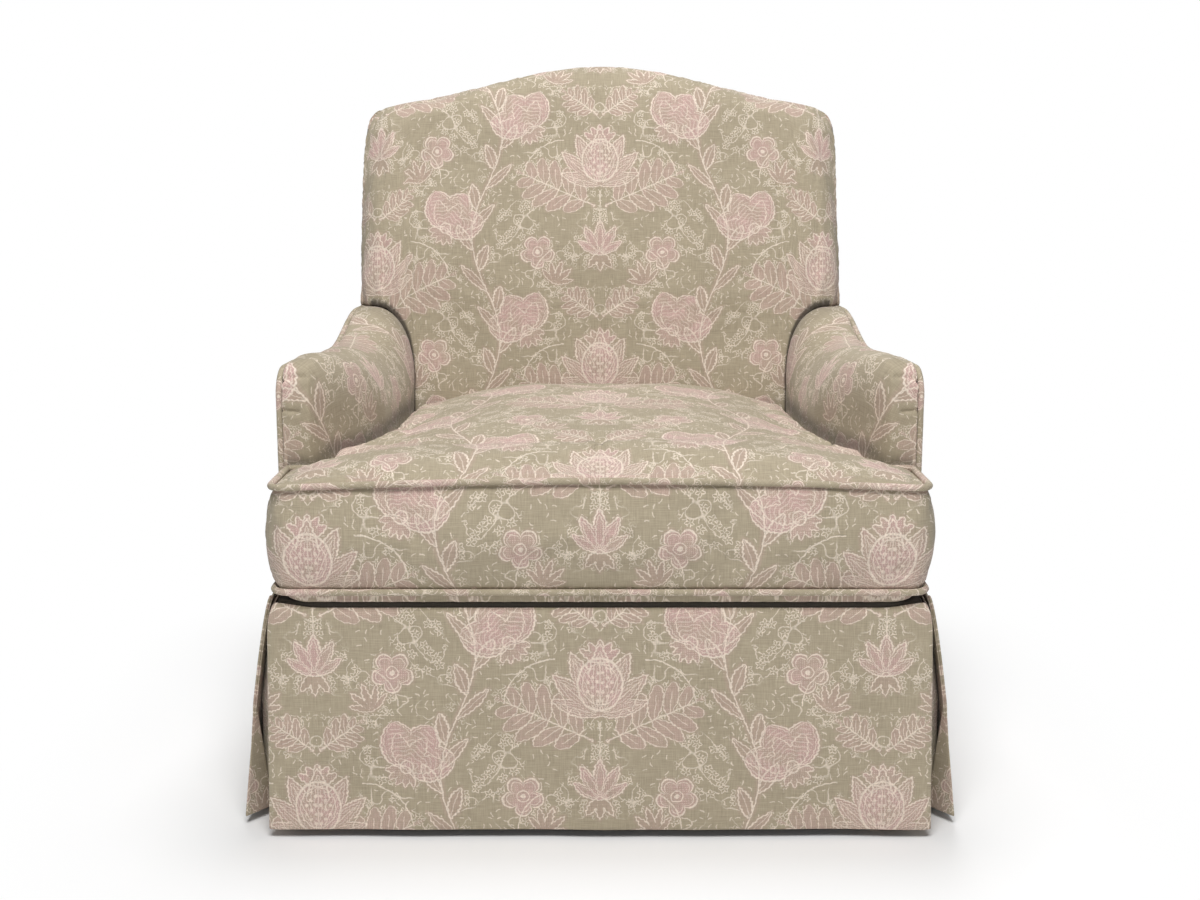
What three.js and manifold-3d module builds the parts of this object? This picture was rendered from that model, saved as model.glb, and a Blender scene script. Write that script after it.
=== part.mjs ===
// A low skirted armchair: a hardwood frame on four feet, sinuous springs, a padded camel back, set-back
// padded arms, a loose T-shaped seat cushion and a floor-length skirt with a kick pleat at each corner.
// Millimetres, +Z up, the chair faces -Y. The origin is on the floor, in the middle of the chair's outline.
import * as THREE from 'three';
import { mergeVertices } from 'three/addons/utils/BufferGeometryUtils.js';
import Module from 'manifold-3d';

const wasm = await Module();
wasm.setup();

// Clearances
const GAP = 0.3; // between pieces that touch
const PAD_GAP = 0.8; // between a pad and the cover round it
const CUSHION_CLEARANCE = 1.2; // between the loose cushion and the arms and back round it
const CUT_OVERRUN = 20; // how far a cut runs past the piece that it cuts

// Body, in plan. y = 0 is the top of the front skirt and y grows towards the back.
const ARM_HALF_WIDTH = 389; // where the arms begin
const FRONT_TAPER = 7; // how much narrower each side is at the front of the skirt
const REAR_TAPER = 31; // and at the back
const SEAT_DEPTH = 545;
const SEAT_LINE = 440; // the height where the inside back starts to lean
const RAKE = THREE.MathUtils.degToRad(15);
const RAKE_BLEND = 60; // how softly the inside back turns from upright to leaning

// Base frame
const FOOT_HEIGHT = 150;
const FOOT_TOP_HALF = 29;
const FOOT_TOE_HALF = 21;
const FOOT_INSET = 45; // from the rails' outer faces to the foot's middle
const FOOT_SIDES = 4;
const GLIDE_HEIGHT = 6;
const GLIDE_RADIUS = 13;
const GLIDE_SIDES = 16;
const RAIL_HEIGHT = 118;
const RAIL_THICKNESS = 28;
const BLOCK_LEG = 78;
const BLOCK_INSET = 18; // above the rail's lower edge and below its upper edge
const DUST_COVER_THICKNESS = 2;

// Springs and deck
const SPRING_COUNT = 5;
const SPRING_WIRE_RADIUS = 1.8;
const SPRING_HALF_WIDTH = 24;
const SPRING_BENDS = 14;
const SPRING_END_SEAT = 16; // how far a spring's end lies over its rail
const DECK_THICKNESS = 12;
const DECK_REAR_INSET = 14;

// Covers
const SKIN = 3;
const WELT_RADIUS = 4;
const PANEL_THICKNESS = 5;
const FRAME_BOARD = 26; // thickness of the boards in the arms and back

// Arms
const ARM_SETBACK = 123;
const ARM_WIDTH = 96;
const ARM_LINE = 530; // height of the outer welt over the front of the arm
const ARM_RISE = 38; // how far it rises where it meets the back
const ARM_RISE_START = 400;
const ARM_RISE_LENGTH = 175;
const ARM_CROWN = 13; // the roll's crown over the outer welt, at the front
const ARM_REAR_CROWN = 2;
const ARM_ROLL_DROP = 96; // from the crown to the upright inner face
const ARM_CROWN_SHARE = 0.34; // of the arm's width, from its outer face to its crown
const ARM_NOSE_RADIUS = 46; // seen from the side
const ARM_NOSE_LENGTH = 190; // seen from above
const ARM_NOSE_FLAT = 40; // flat front before the nose turns in
const ARM_NOSE_POWER_SHARE = 1.3; // 1 is a straight chamfer and 2 an ellipse
const STUMP_DEPTH = 58;
const STUMP_SETBACK = 34;
const BOARD_COVERING = 10; // padding between an arm's boards and its outer cover
const ARM_BOARD_HEIGHT = 36;
const ARM_BOARD_DROP = 44; // its top below the welt line

// Back
const BACK_HEIGHT = 915;
const BACK_TOP_TAPER = 6.7; // how much narrower each side is at the top than over the arms
const CAMEL_SLOPE_SHARE = 0.25; // how steeply the top falls away from its crest
const CAMEL_SOFTNESS = 96; // how broad the crest is
const BACK_CORNER_RADIUS = 22;
const BACK_THICKNESS = 130;
const BACK_EDGE_ROUND = 34;
const BACK_CROWN = 16;
const POST_WIDTH = 34;
const POST_INSET = 10; // from the back's side, at its top
const TOP_RAIL_HEIGHT = 70;
const TOP_RAIL_COVERING = 26; // padding over the top rail
const TACK_RAIL_HEIGHT = 42;
const TACK_RAIL_LIFT = 36;
const UPPER_WEB_COUNT = 2;
const WEB_HEIGHT_SHARE = 0.57; // of the space from one upper web to the next
const WEB_THICKNESS = 2;

// Skirt
const SKIRT_THICKNESS = 4;
const SKIRT_CLEARANCE = 12;
const SKIRT_TOP_DROP = 1; // below the cushion's deck
const FRONT_PANEL_INSET = 8; // from the corner, at the top
const FRONT_PANEL_SPREAD = 14; // how much further each side reaches at the hem
const FRONT_KICK = 5;
const SIDE_PANEL_INSET = 30;
const SIDE_KICK = 45; // outwards at the hem, at the panel's two ends
const SIDE_KICK_MIDDLE = 30;
const SIDE_KICK_POWER_SHARE = 0.75; // below 1 the panel swells near its top
const REAR_KICK = 26;
const PLEAT_REACH = 30; // how far an insert lies behind its panels
const PLEAT_DEPTH = 46; // of the fold, at the hem
const PLEAT_THICKNESS = 3;

// Seat cushion
const CUSHION_BOXING = 121; // between the two welts
const CUSHION_UNDERCUT = 14; // from the deck up to the lower welt
const CUSHION_OVERHANG = 8; // of the welts, in front of the skirt
const CUSHION_EAR_INSET = 18; // from the arms' outer faces
const CUSHION_EAR_RADIUS = 30;
const CUSHION_EAR_CORNER = 8;
const CUSHION_REAR_RADIUS = 30;
const CUSHION_CROWN = 52;
const CUSHION_SWELL = 8; // of the boxing
const CUSHION_FRONT_ARCH = 9; // how far the upper welt rises in the middle of the front
const CUSHION_FRONT_FALL = 20; // how much lower the crown is between the ears than behind them
const CUSHION_SPINE_FRONT_SHARE = 0.8; // of the arms' setback: the crown line starts here
const CUSHION_SPINE_REAR_SHARE = 0.79; // of the seat's depth: and ends here
const CUSHION_FLAT_SHARE = 0.92; // of the underside that lies flat
const CUSHION_CROWN_POWER_SHARE = 3.2; // higher keeps the top flatter and its edge steeper
const ZIP_MARGIN = 46; // from the rear edge's rounded corners
const ZIP_HEIGHT = 8;

const COLOURS = { fabric: 0xa89c82, lining: 0xd8d0c0, foam: 0xe6dfcf, wood: 0xb08a5a, steel: 0x9a9da0,
  webbing: 0xc2b49a, dust: 0x2b2b2b, glide: 0x3a3835, zip: 0x8d8470 };
const ROUGHNESS = { fabric: 0.92, lining: 0.9, foam: 0.95, wood: 0.62, steel: 0.35, webbing: 0.9, dust: 0.95,
  glide: 0.5, zip: 0.7 };

// Levels and planes that the pieces share
const FRONT_HALF_WIDTH = ARM_HALF_WIDTH - FRONT_TAPER;
const REAR_HALF_WIDTH = ARM_HALF_WIDTH - REAR_TAPER;
const CUSHION_EAR_HALF = ARM_HALF_WIDTH - CUSHION_EAR_INSET;
const TAN_RAKE = Math.tan(RAKE);
const RAIL_TOP = FOOT_HEIGHT + RAIL_HEIGHT;
const SPRING_LEVEL = RAIL_TOP + GAP + SPRING_WIRE_RADIUS;
const DECK_BOTTOM = SPRING_LEVEL + SPRING_WIRE_RADIUS + GAP;
const DECK_TOP = DECK_BOTTOM + DECK_THICKNESS;
const CUSHION_BOTTOM = DECK_TOP + GAP;
const LOWER_WELT = CUSHION_BOTTOM + CUSHION_UNDERCUT;
const UPPER_WELT = LOWER_WELT + CUSHION_BOXING;
const BODY_BOTTOM = RAIL_TOP + GAP;
const PANEL_BOTTOM = DECK_TOP + GAP;
const SKIRT_TOP = DECK_TOP - SKIRT_TOP_DROP;
const WELT = 2 * WELT_RADIUS;
const FACE_INSET = WELT + GAP; // a cover's edge lies this far inside the welt's outer face
const PLEAT_INSET = SKIRT_THICKNESS + GAP; // an insert lies this far inside the skirt's outer face
const RAIL_INSET = PLEAT_INSET + PLEAT_THICKNESS + GAP; // and so far the rails
// From a cushion welt's middle to the edge of the cover beside it
const WELT_SEAT = (WELT_RADIUS + PAD_GAP) / Math.SQRT2;
// The outside arm panels lie over the back's sides.
const BACK_HALF_WIDTH = REAR_HALF_WIDTH - FACE_INSET;
const BACK_TOP_HALF_WIDTH = BACK_HALF_WIDTH - BACK_TOP_TAPER;

const smooth = (t) => {
  const k = THREE.MathUtils.clamp(t, 0, 1);
  return k * k * (3 - 2 * k);
};
const hump = (t) => (Math.abs(t) < 1 ? (1 + Math.cos(Math.PI * t)) / 2 : 0);
const quarterRound = (t) => 1 - Math.sqrt(Math.max(0, 1 - t * t));
const steps = (count, from = 0, to = 1) =>
  Array.from({ length: count + 1 }, (_, i) => from + ((to - from) * i) / count);
const v3 = (x, y, z) => new THREE.Vector3(x, y, z);

// The outside back is a leaning plane, and the base ends where that plane meets the rails.
const rearFace = (z) => SEAT_DEPTH + BACK_THICKNESS + (z - SEAT_LINE) * TAN_RAKE;
const BASE_DEPTH = rearFace(RAIL_TOP);
function bodyHalf(y) {
  if (y < ARM_SETBACK)
    return FRONT_HALF_WIDTH + ((ARM_HALF_WIDTH - FRONT_HALF_WIDTH) * y) / ARM_SETBACK;
  const share = Math.min(1, (y - ARM_SETBACK) / (BASE_DEPTH - ARM_SETBACK));
  return ARM_HALF_WIDTH - (ARM_HALF_WIDTH - REAR_HALF_WIDTH) * share;
}

// Solids from points: a list of faces whose shared corners are one vertex, turned so that they face outwards
const KEY_SCALE = 1e4;
class FaceList {
  constructor() {
    this.points = [];
    this.lookup = new Map();
    this.faces = [];
  }
  corner(p) {
    const key = [p.x, p.y, p.z].map((k) => Math.round(k * KEY_SCALE)).join();
    if (!this.lookup.has(key)) {
      this.lookup.set(key, this.points.length);
      this.points.push(p);
    }
    return this.lookup.get(key);
  }
  triangle(a, b, c) {
    const [i, j, k] = [this.corner(a), this.corner(b), this.corner(c)];
    if (i !== j && j !== k && k !== i) this.faces.push([i, j, k]);
  }
  quad(a, b, c, d) {
    this.triangle(a, b, c);
    this.triangle(a, c, d);
  }
  // The second half of a grid is split the other way, so that a symmetrical form has symmetrical faces.
  grid(rows, inward = false) {
    for (let i = 0; i + 1 < rows.length; i += 1)
      for (let j = 0; j + 1 < rows[i].length; j += 1) {
        const [a, b, c, d] = [rows[i][j], rows[i + 1][j], rows[i + 1][j + 1], rows[i][j + 1]];
        const split = i < (rows.length - 1) / 2 ? [[a, b, c], [a, c, d]] : [[a, b, d], [b, c, d]];
        for (const [p, q, r] of split) this.triangle(p, inward ? r : q, inward ? q : r);
      }
  }
  geometry() {
    const volume = this.faces.reduce((sum, [i, j, k]) =>
      sum + this.points[i].dot(v3(0, 0, 0).crossVectors(this.points[j], this.points[k])), 0);
    const order = volume < 0 ? ([i, j, k]) => [i, k, j] : (face) => face;
    const geometry = new THREE.BufferGeometry();
    geometry.setAttribute('position', new THREE.Float32BufferAttribute(
      this.points.flatMap((p) => [p.x, p.y, p.z]), 3));
    geometry.setIndex(this.faces.flatMap(order));
    return geometry;
  }
}

// A sheet with a thickness: a front and a rear grid, joined round the rim. A grid whose last column folds
// onto itself, as a cover does along its crown, has no rim there.
function sheet(front, rear, { foldedLast = false } = {}) {
  const list = new FaceList();
  const [m, n] = [front.length - 1, front[0].length - 1];
  list.grid(front);
  list.grid(rear, true);
  for (let i = 0; i < m; i += 1) {
    list.quad(front[i + 1][0], front[i][0], rear[i][0], rear[i + 1][0]);
    if (!foldedLast) list.quad(front[i][n], front[i + 1][n], rear[i + 1][n], rear[i][n]);
  }
  for (let j = 0; j < n; j += 1) {
    list.quad(front[0][j], front[0][j + 1], rear[0][j + 1], rear[0][j]);
    list.quad(front[m][j + 1], front[m][j], rear[m][j], rear[m][j + 1]);
  }
  return list.geometry();
}

// A loaf: rows that each run from the underside's middle line round to the crown line, closed at the cut end
function loaf(rows) {
  const list = new FaceList();
  const last = rows.length - 1;
  list.grid(rows);
  for (let j = 0; j + 1 < rows[0].length; j += 1)
    list.quad(rows[0][j], rows[0][j + 1], rows[last][j + 1], rows[last][j]);
  return list.geometry();
}

// A cushion form: rows as in a loaf, but the outline closes on itself
function cushionForm(rows) {
  const list = new FaceList();
  list.grid([...rows, rows[0]]);
  return list.geometry();
}

function solid(geometry) {
  const bare = geometry.clone();
  bare.deleteAttribute('normal');
  bare.deleteAttribute('uv');
  const merged = mergeVertices(bare, 1 / KEY_SCALE);
  return new wasm.Manifold(new wasm.Mesh({ numProp: 3,
    vertProperties: merged.attributes.position.array, triVerts: new Uint32Array(merged.index.array) }));
}

function geometryOf(manifold) {
  const mesh = manifold.getMesh();
  const geometry = new THREE.BufferGeometry();
  geometry.setAttribute('position', new THREE.Float32BufferAttribute(mesh.vertProperties, mesh.numProp));
  geometry.setIndex([...mesh.triVerts]);
  return geometry;
}

const cut = (geometry, ...cutters) =>
  geometryOf(cutters.reduce((left, cutter) => left.subtract(solid(cutter)), solid(geometry)));

// Prisms: a plan outline raised along Z, and a front outline given depth behind the leaning rear plane
function shapeOf(points) {
  return new THREE.Shape(points.map(([a, b]) => new THREE.Vector2(a, b)));
}

function prism(points, low, high) {
  const geometry = new THREE.ExtrudeGeometry(shapeOf(points), { depth: high - low, bevelEnabled: false });
  return geometry.translate(0, 0, low);
}

function rakedPrism(points, depth, thickness) {
  const geometry = new THREE.ExtrudeGeometry(shapeOf(points), { depth: thickness, bevelEnabled: false });
  const position = geometry.getAttribute('position');
  for (let i = 0; i < position.count; i += 1) {
    const [x, z, back] = [position.getX(i), position.getY(i), position.getZ(i)];
    position.setXYZ(i, x, rearFace(z) - depth - back, z);
  }
  return geometry;
}

const box = (x0, x1, y0, y1, z0, z1) =>
  new THREE.BoxGeometry(x1 - x0, y1 - y0, z1 - z0).translate((x0 + x1) / 2, (y0 + y1) / 2, (z0 + z1) / 2);

const ARC_STEPS = 3;
const arc = (x, y, radius, from, to) => steps(ARC_STEPS, from, to).map((a) =>
  [x + radius * Math.cos(a), y + radius * Math.sin(a)]);

const WELT_SIDES = 6;
function circle(radius, sides) {
  return new THREE.Shape(steps(sides - 1, 0, 2 * Math.PI * (1 - 1 / sides)).map((a) =>
    new THREE.Vector2(radius * Math.cos(a), radius * Math.sin(a))));
}

function cordAlong(points, radius, sides, count) {
  return new THREE.ExtrudeGeometry(circle(radius, sides), { steps: count, bevelEnabled: false,
    extrudePath: new THREE.CatmullRomCurve3(points, false, 'centripetal') });
}

// A welt with a ring at each point, square to the bend there. It bends in the plane that `normal` stands on.
function welt(points, normal, closed = false) {
  const count = points.length;
  const list = new FaceList();
  const rings = points.map((point, i) => {
    const before = points[closed ? (i + count - 1) % count : Math.max(0, i - 1)];
    const after = points[closed ? (i + 1) % count : Math.min(count - 1, i + 1)];
    const [into, out] = [point.clone().sub(before), after.clone().sub(point)];
    const leaving = out.length() ? out.normalize() : into.clone().normalize();
    const arriving = into.length() ? into.normalize() : leaving;
    const along = arriving.clone().add(leaving).normalize();
    const across = v3(0, 0, 0).crossVectors(along, normal).normalize().divideScalar(along.dot(arriving));
    return steps(WELT_SIDES, 0, 2 * Math.PI).slice(0, -1).map((a) => point.clone()
      .addScaledVector(normal, WELT_RADIUS * Math.cos(a)).addScaledVector(across, WELT_RADIUS * Math.sin(a)));
  });
  list.grid([...rings, ...(closed ? [rings[0]] : [])].map((ring) => [...ring, ring[0]]));
  if (!closed)
    for (let k = 1; k + 1 < WELT_SIDES; k += 1) {
      list.triangle(rings[0][0], rings[0][k], rings[0][k + 1]);
      list.triangle(rings[count - 1][0], rings[count - 1][k + 1], rings[count - 1][k]);
    }
  return list.geometry();
}

// The same solid on the other side of the chair, with its faces still turned outwards
function mirrored(geometry) {
  const flipped = (geometry.index ? geometry.toNonIndexed() : geometry.clone()).scale(-1, 1, 1);
  const position = flipped.getAttribute('position');
  const faces = Array.from({ length: position.count / 3 }, (_, face) => 3 * face);
  flipped.setIndex(faces.flatMap((first) => [first, first + 2, first + 1]));
  return flipped;
}

const parts = new THREE.Group();
function piece(name, finish, geometry, parent = parts) {
  const material = new THREE.MeshStandardMaterial({ color: COLOURS[finish], roughness: ROUGHNESS[finish],
    metalness: finish === 'steel' ? 1 : 0 });
  const mesh = new THREE.Mesh(geometry, material);
  mesh.name = name;
  parent.add(mesh);
  return mesh;
}

// Base: four rails, a block in each corner, feet and glides
const railOuter = (y) => bodyHalf(y) - RAIL_INSET;
const railInner = (y) => railOuter(y) - RAIL_THICKNESS;
const FRONT_RAIL = RAIL_INSET;
const FRONT_RAIL_REAR = FRONT_RAIL + RAIL_THICKNESS;
const REAR_RAIL_END = BASE_DEPTH - RAIL_INSET;
const REAR_RAIL = REAR_RAIL_END - RAIL_THICKNESS;

function crossRail(y0, y1) {
  return prism([[-railOuter(y0), y0], [railOuter(y0), y0], [railOuter(y1), y1], [-railOuter(y1), y1]],
    FOOT_HEIGHT, RAIL_TOP);
}

function sideRail() {
  const stops = [FRONT_RAIL_REAR + GAP, ARM_SETBACK, REAR_RAIL - GAP];
  return prism([...stops.map((y) => [railOuter(y), y]), ...stops.map((y) => [railInner(y), y]).reverse()],
    FOOT_HEIGHT, RAIL_TOP);
}

function cornerBlock(y, inwards) {
  const [start, end] = [y + inwards * GAP, y + inwards * BLOCK_LEG];
  const side = (at) => railInner(at) - GAP;
  return prism([[side(start), start], [side(end), end], [side(start) - BLOCK_LEG, start]],
    FOOT_HEIGHT + BLOCK_INSET, RAIL_TOP - BLOCK_INSET);
}

// A foot stands in from the narrower end of its corner, so that it clears the fold of the skirt there.
const footX = (y) => Math.min(railOuter(y - FOOT_INSET), railOuter(y + FOOT_INSET)) - FOOT_INSET;
const FEET = { front: FRONT_RAIL + FOOT_INSET, rear: REAR_RAIL_END - FOOT_INSET };

function foot(y) {
  const [top, toe] = [FOOT_HEIGHT - GAP, GLIDE_HEIGHT + GAP];
  const geometry = new THREE.CylinderGeometry(FOOT_TOP_HALF * Math.SQRT2, FOOT_TOE_HALF * Math.SQRT2,
    top - toe, FOOT_SIDES, 1, false, Math.PI / FOOT_SIDES);
  return geometry.rotateX(Math.PI / 2).translate(footX(y), y, (top + toe) / 2);
}
function glide(y) {
  return new THREE.CylinderGeometry(GLIDE_RADIUS, GLIDE_RADIUS, GLIDE_HEIGHT, GLIDE_SIDES)
    .rotateX(Math.PI / 2).translate(footX(y), y, GLIDE_HEIGHT / 2);
}

function dustCover() {
  const side = [FRONT_RAIL_REAR + GAP, ARM_SETBACK, REAR_RAIL - GAP].map((y) => [railInner(y) - GAP, y]);
  return prism([...side, ...side.map(([x, y]) => [-x, y]).reverse()],
    FOOT_HEIGHT, FOOT_HEIGHT + DUST_COVER_THICKNESS);
}

// A sinuous spring: the wire swings from side to side in rounded bends and ends over the two rails.
const BEND_STEPS = 4;
const WIRE_SIDES = 4;
const BEND_WAVE_SHARE = 0.16; // how square the bends are
function sinuousSpring(x) {
  const [y0, y1] = [FRONT_RAIL_REAR - SPRING_END_SEAT, REAR_RAIL + SPRING_END_SEAT];
  const points = steps(SPRING_BENDS * BEND_STEPS).map((t) => {
    const angle = t * SPRING_BENDS * Math.PI;
    const swing = Math.sin(angle) * (1 + BEND_WAVE_SHARE * Math.cos(angle) ** 2);
    return v3(x + SPRING_HALF_WIDTH * swing, y0 + (y1 - y0) * t, SPRING_LEVEL);
  });
  return cordAlong(points, SPRING_WIRE_RADIUS, WIRE_SIDES, SPRING_BENDS * BEND_STEPS);
}

// Arm. The height of its outer welt: level, then a rise to the back, and in front a nose rounded down
const armEnd = (x, z) => backFace(x, z) + CUT_OVERRUN / 2;
const CROWN_START = ARM_SETBACK + ARM_NOSE_RADIUS;
const armRise = (y) => smooth((y - ARM_RISE_START) / ARM_RISE_LENGTH);
const armLine = (y) => ARM_LINE + ARM_RISE * armRise(y);
const armCrown = (y) => ARM_CROWN - (ARM_CROWN - ARM_REAR_CROWN) * armRise(y + ARM_RISE_LENGTH / 2);

// The arm seen from above: a flat front, a nose that turns in, then the inner face along the seat
const armInner = (y) => bodyHalf(y) - ARM_WIDTH;
const NOSE_END = ARM_SETBACK + ARM_NOSE_LENGTH;
const NOSE_START_X = ARM_HALF_WIDTH - ARM_NOSE_FLAT;
function nosePoint(t, offset = 0) {
  const power = 2 / ARM_NOSE_POWER_SHARE;
  const angle = (t * Math.PI) / 2;
  const reach = NOSE_START_X - armInner(NOSE_END);
  const outward = new THREE.Vector2(-ARM_NOSE_LENGTH * Math.tan(angle) ** (2 - power), -reach).normalize();
  return [NOSE_START_X - reach * Math.sin(angle) ** power + outward.x * offset,
    ARM_SETBACK + ARM_NOSE_LENGTH * (1 - Math.cos(angle) ** power) + outward.y * offset];
}

const SIDE_STEPS = 7;
const ROUND_STEPS = 3;
const NOSE_STEPS = 6;
const ROLL_STEPS = 5;
const END_ROUNDS = 12; // times that the arm's end is fitted to the leaning back

// Stations round the arm's outline, from the outer rear corner round the nose to the inner rear corner. Each
// gives the outline's point, and how far the roll drops from the crown line to it.
function armStations(inset) {
  const outer = (y) => bodyHalf(y) - FACE_INSET - inset;
  const radius = ARM_NOSE_RADIUS - inset;
  const foreDrop = ARM_CROWN + ARM_NOSE_RADIUS - inset;
  const along = steps(SIDE_STEPS);
  const outside = [...along].reverse().map((t) => ({ along: t, start: CROWN_START, x: outer,
    drop: armCrown }));
  const corner = steps(ROUND_STEPS).slice(1).map((t) => {
    const y = CROWN_START - radius * Math.sin((t * Math.PI) / 2);
    return { at: [outer(y), y], drop: ARM_CROWN + radius * (1 - Math.cos((t * Math.PI) / 2)) };
  });
  const nose = steps(NOSE_STEPS).map((t) => ({ at: nosePoint(t, -inset),
    drop: foreDrop + (ARM_ROLL_DROP - foreDrop) * smooth(t) }));
  const inside = along.slice(1).map((t) => ({ along: t, start: NOSE_END, x: (y) => armInner(y) + inset,
    drop: () => ARM_ROLL_DROP }));
  return [...outside, ...corner, ...nose, ...inside];
}

// A point of the arm at a station, a share of the way from the crown line out to the outline. Where `level`
// is given, the point is moved straight down to it.
const crownX = (y) => bodyHalf(y) - ARM_WIDTH * ARM_CROWN_SHARE;
function armPoint(station, share, inset, level = null) {
  const roll = (y, drop) => level ?? armLine(y) + armCrown(y) - inset - drop * quarterRound(share);
  if (station.at) {
    const [x, y] = station.at;
    const from = crownX(CROWN_START);
    return v3(from + (x - from) * share, CROWN_START + (y - CROWN_START) * share,
      roll(CROWN_START, station.drop));
  }
  const from = CROWN_START + (station.start - CROWN_START) * share;
  const across = (y) => crownX(y) + (station.x(y) - crownX(y)) * share;
  let y = SEAT_DEPTH;
  for (let round = 0; round < END_ROUNDS; round += 1)
    y = from + (armEnd(across(y), roll(y, station.drop(y))) - from) * station.along;
  return v3(across(y), y, roll(y, station.drop(y)));
}

const rollShares = steps(ROLL_STEPS).map((t) => Math.cos((t * Math.PI) / 2));
function armRows(inset, { bottom, underside = false }) {
  return armStations(inset).map((station) => {
    const edge = armPoint(station, 1, inset);
    const foot = armPoint(station, 1, inset, bottom);
    const middle = armPoint(station, 1, inset, (edge.z + bottom) / 2);
    const roll = rollShares.slice(1).map((share) => armPoint(station, share, inset));
    const wall = [foot, middle, edge, ...roll];
    return underside ? [armPoint(station, 0, inset, bottom), ...wall] : wall;
  });
}

// The boards inside an arm, and the same boards grown by a clearance to cut the padding round them
const boardOuter = (y) => bodyHalf(y) - FACE_INSET - SKIN - GAP - BOARD_COVERING;
const STUMP_FRONT = ARM_SETBACK + STUMP_SETBACK;
const BOARD_TOP = ARM_LINE - ARM_BOARD_DROP;
const BOARD_BOTTOM = BOARD_TOP - ARM_BOARD_HEIGHT;
const BACK_FRAME_DEPTH = RAIL_INSET + (SKIRT_TOP - RAIL_TOP) * TAN_RAKE + GAP; // inside the rear plane
const postFront = (z) => rearFace(z) - BACK_FRAME_DEPTH - FRAME_BOARD;

// A straight board along the inside of the outer cover, between two places along the arm
function armTimber(front, rear, low, high, grow) {
  const stops = [front - grow, ...(rear > BASE_DEPTH ? [BASE_DEPTH] : []), rear + grow];
  return prism([...stops.map((y) => [boardOuter(y) + grow, y]),
    ...stops.map((y) => [boardOuter(y) - FRAME_BOARD - grow, y]).reverse()], low, high);
}

const armStump = (grow = 0) => armTimber(STUMP_FRONT, STUMP_FRONT + STUMP_DEPTH,
  BODY_BOTTOM - (grow ? CUT_OVERRUN : 0), BOARD_BOTTOM - GAP + grow, grow);
const armBoard = (grow = 0) => armTimber(STUMP_FRONT,
  postFront(BOARD_BOTTOM) - GAP + (grow ? CUT_OVERRUN : 0), BOARD_BOTTOM - grow, BOARD_TOP + grow, grow);

// The arms' padding and covers are cut to the face of the inside back, which the block stands for.
function backBlock() {
  const ahead = (p) => v3(p.x, p.y - GAP, p.z);
  const rows = acrossShares.map((u) => upShares.map((v) => ahead(backPoint(u, v, 0))));
  const longer = rows.map((row) => [v3(row[0].x, row[0].y, row[0].z - CUT_OVERRUN), ...row]);
  const beside = (row, side) => row.map((p) => v3(p.x + side * CUT_OVERRUN, p.y, p.z));
  const front = [beside(longer[0], -1), ...longer, beside(longer[longer.length - 1], 1)];
  return sheet(front, front.map((row) => row.map((p) => v3(p.x, p.y + BACK_THICKNESS, p.z))));
}

const armPad = () => cut(loaf(armRows(SKIN + PAD_GAP, { bottom: BODY_BOTTOM, underside: true })),
  armStump(GAP), armBoard(GAP), backBlock());

function armCover() {
  return cut(sheet(armRows(0, { bottom: BODY_BOTTOM }), armRows(SKIN, { bottom: BODY_BOTTOM }),
    { foldedLast: true }), backBlock());
}

// The outside of an arm in side view: up the front, over the nose and back along the welt line to the rear
const ARM_JOIN = ARM_LINE + ARM_RISE;
function armProfile(offset) {
  const radius = ARM_NOSE_RADIUS - offset;
  const nose = steps(NOSE_STEPS).map((t) => [CROWN_START - radius * Math.cos((t * Math.PI) / 2),
    ARM_LINE - ARM_NOSE_RADIUS + radius * Math.sin((t * Math.PI) / 2)]);
  const end = rearFace(ARM_JOIN - offset);
  const top = steps(2 * SIDE_STEPS, CROWN_START, end).slice(1).map((y) => [y, armLine(y) - offset]);
  return [...nose, ...top];
}

function armWelt() {
  const points = [[ARM_SETBACK + WELT_RADIUS, PANEL_BOTTOM], ...armProfile(WELT_RADIUS)].map(([y, z]) =>
    v3(bodyHalf(y) - WELT_RADIUS, y, z));
  return welt(points, v3(1, 0, 0));
}

function outsideArmPanel() {
  const profile = armProfile(FACE_INSET);
  const [topEnd] = profile[profile.length - 1];
  const footEnd = rearFace(PANEL_BOTTOM);
  const footOf = (y) => (y < CROWN_START ? y
    : CROWN_START + ((y - CROWN_START) * (footEnd - CROWN_START)) / (topEnd - CROWN_START));
  const outer = (y, inset) => bodyHalf(y) - WELT + inset;
  const wall = (inset) => profile.map(([y, z]) => [v3(outer(footOf(y), inset), footOf(y), PANEL_BOTTOM),
    v3(outer(y, inset), y, z)]);
  return sheet(wall(0), wall(PANEL_THICKNESS));
}

// Back. The inside back stands upright behind the cushion and then leans; it swells a little in the middle
// and turns back at its sides and top.
const BACK_BOTTOM = PANEL_BOTTOM;
const camelTop = (x) => BACK_HEIGHT - CAMEL_SLOPE_SHARE * (Math.hypot(x, CAMEL_SOFTNESS) - CAMEL_SOFTNESS);
function backHalf(z) {
  const t = THREE.MathUtils.clamp((z - ARM_JOIN) / (BACK_HEIGHT - ARM_JOIN), 0, 1);
  return BACK_HALF_WIDTH - (BACK_HALF_WIDTH - BACK_TOP_HALF_WIDTH) * t * t;
}
const lean = (z) => (TAN_RAKE * (Math.hypot(z - SEAT_LINE, RAKE_BLEND) + z - SEAT_LINE)) / 2;
function backFace(x, z, inset = 0) {
  const [half, top] = [backHalf(z) - inset, camelTop(x) - inset];
  const across = 1 - Math.min(1, Math.abs(x) / half) ** 2;
  const up = Math.sin(Math.PI * THREE.MathUtils.clamp((z - BACK_BOTTOM) / (top - BACK_BOTTOM), 0, 1));
  const side = Math.max(0, 1 - (half - Math.abs(x)) / BACK_EDGE_ROUND);
  const above = Math.max(0, 1 - (top - z) / BACK_EDGE_ROUND);
  return SEAT_DEPTH + lean(z) + inset - BACK_CROWN * across * up
    + BACK_EDGE_ROUND * quarterRound(Math.min(1, Math.hypot(side, above)));
}

const ACROSS_STEPS = 8;
const EDGE_STEPS = 3;
const UP_STEPS = 7;
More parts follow.
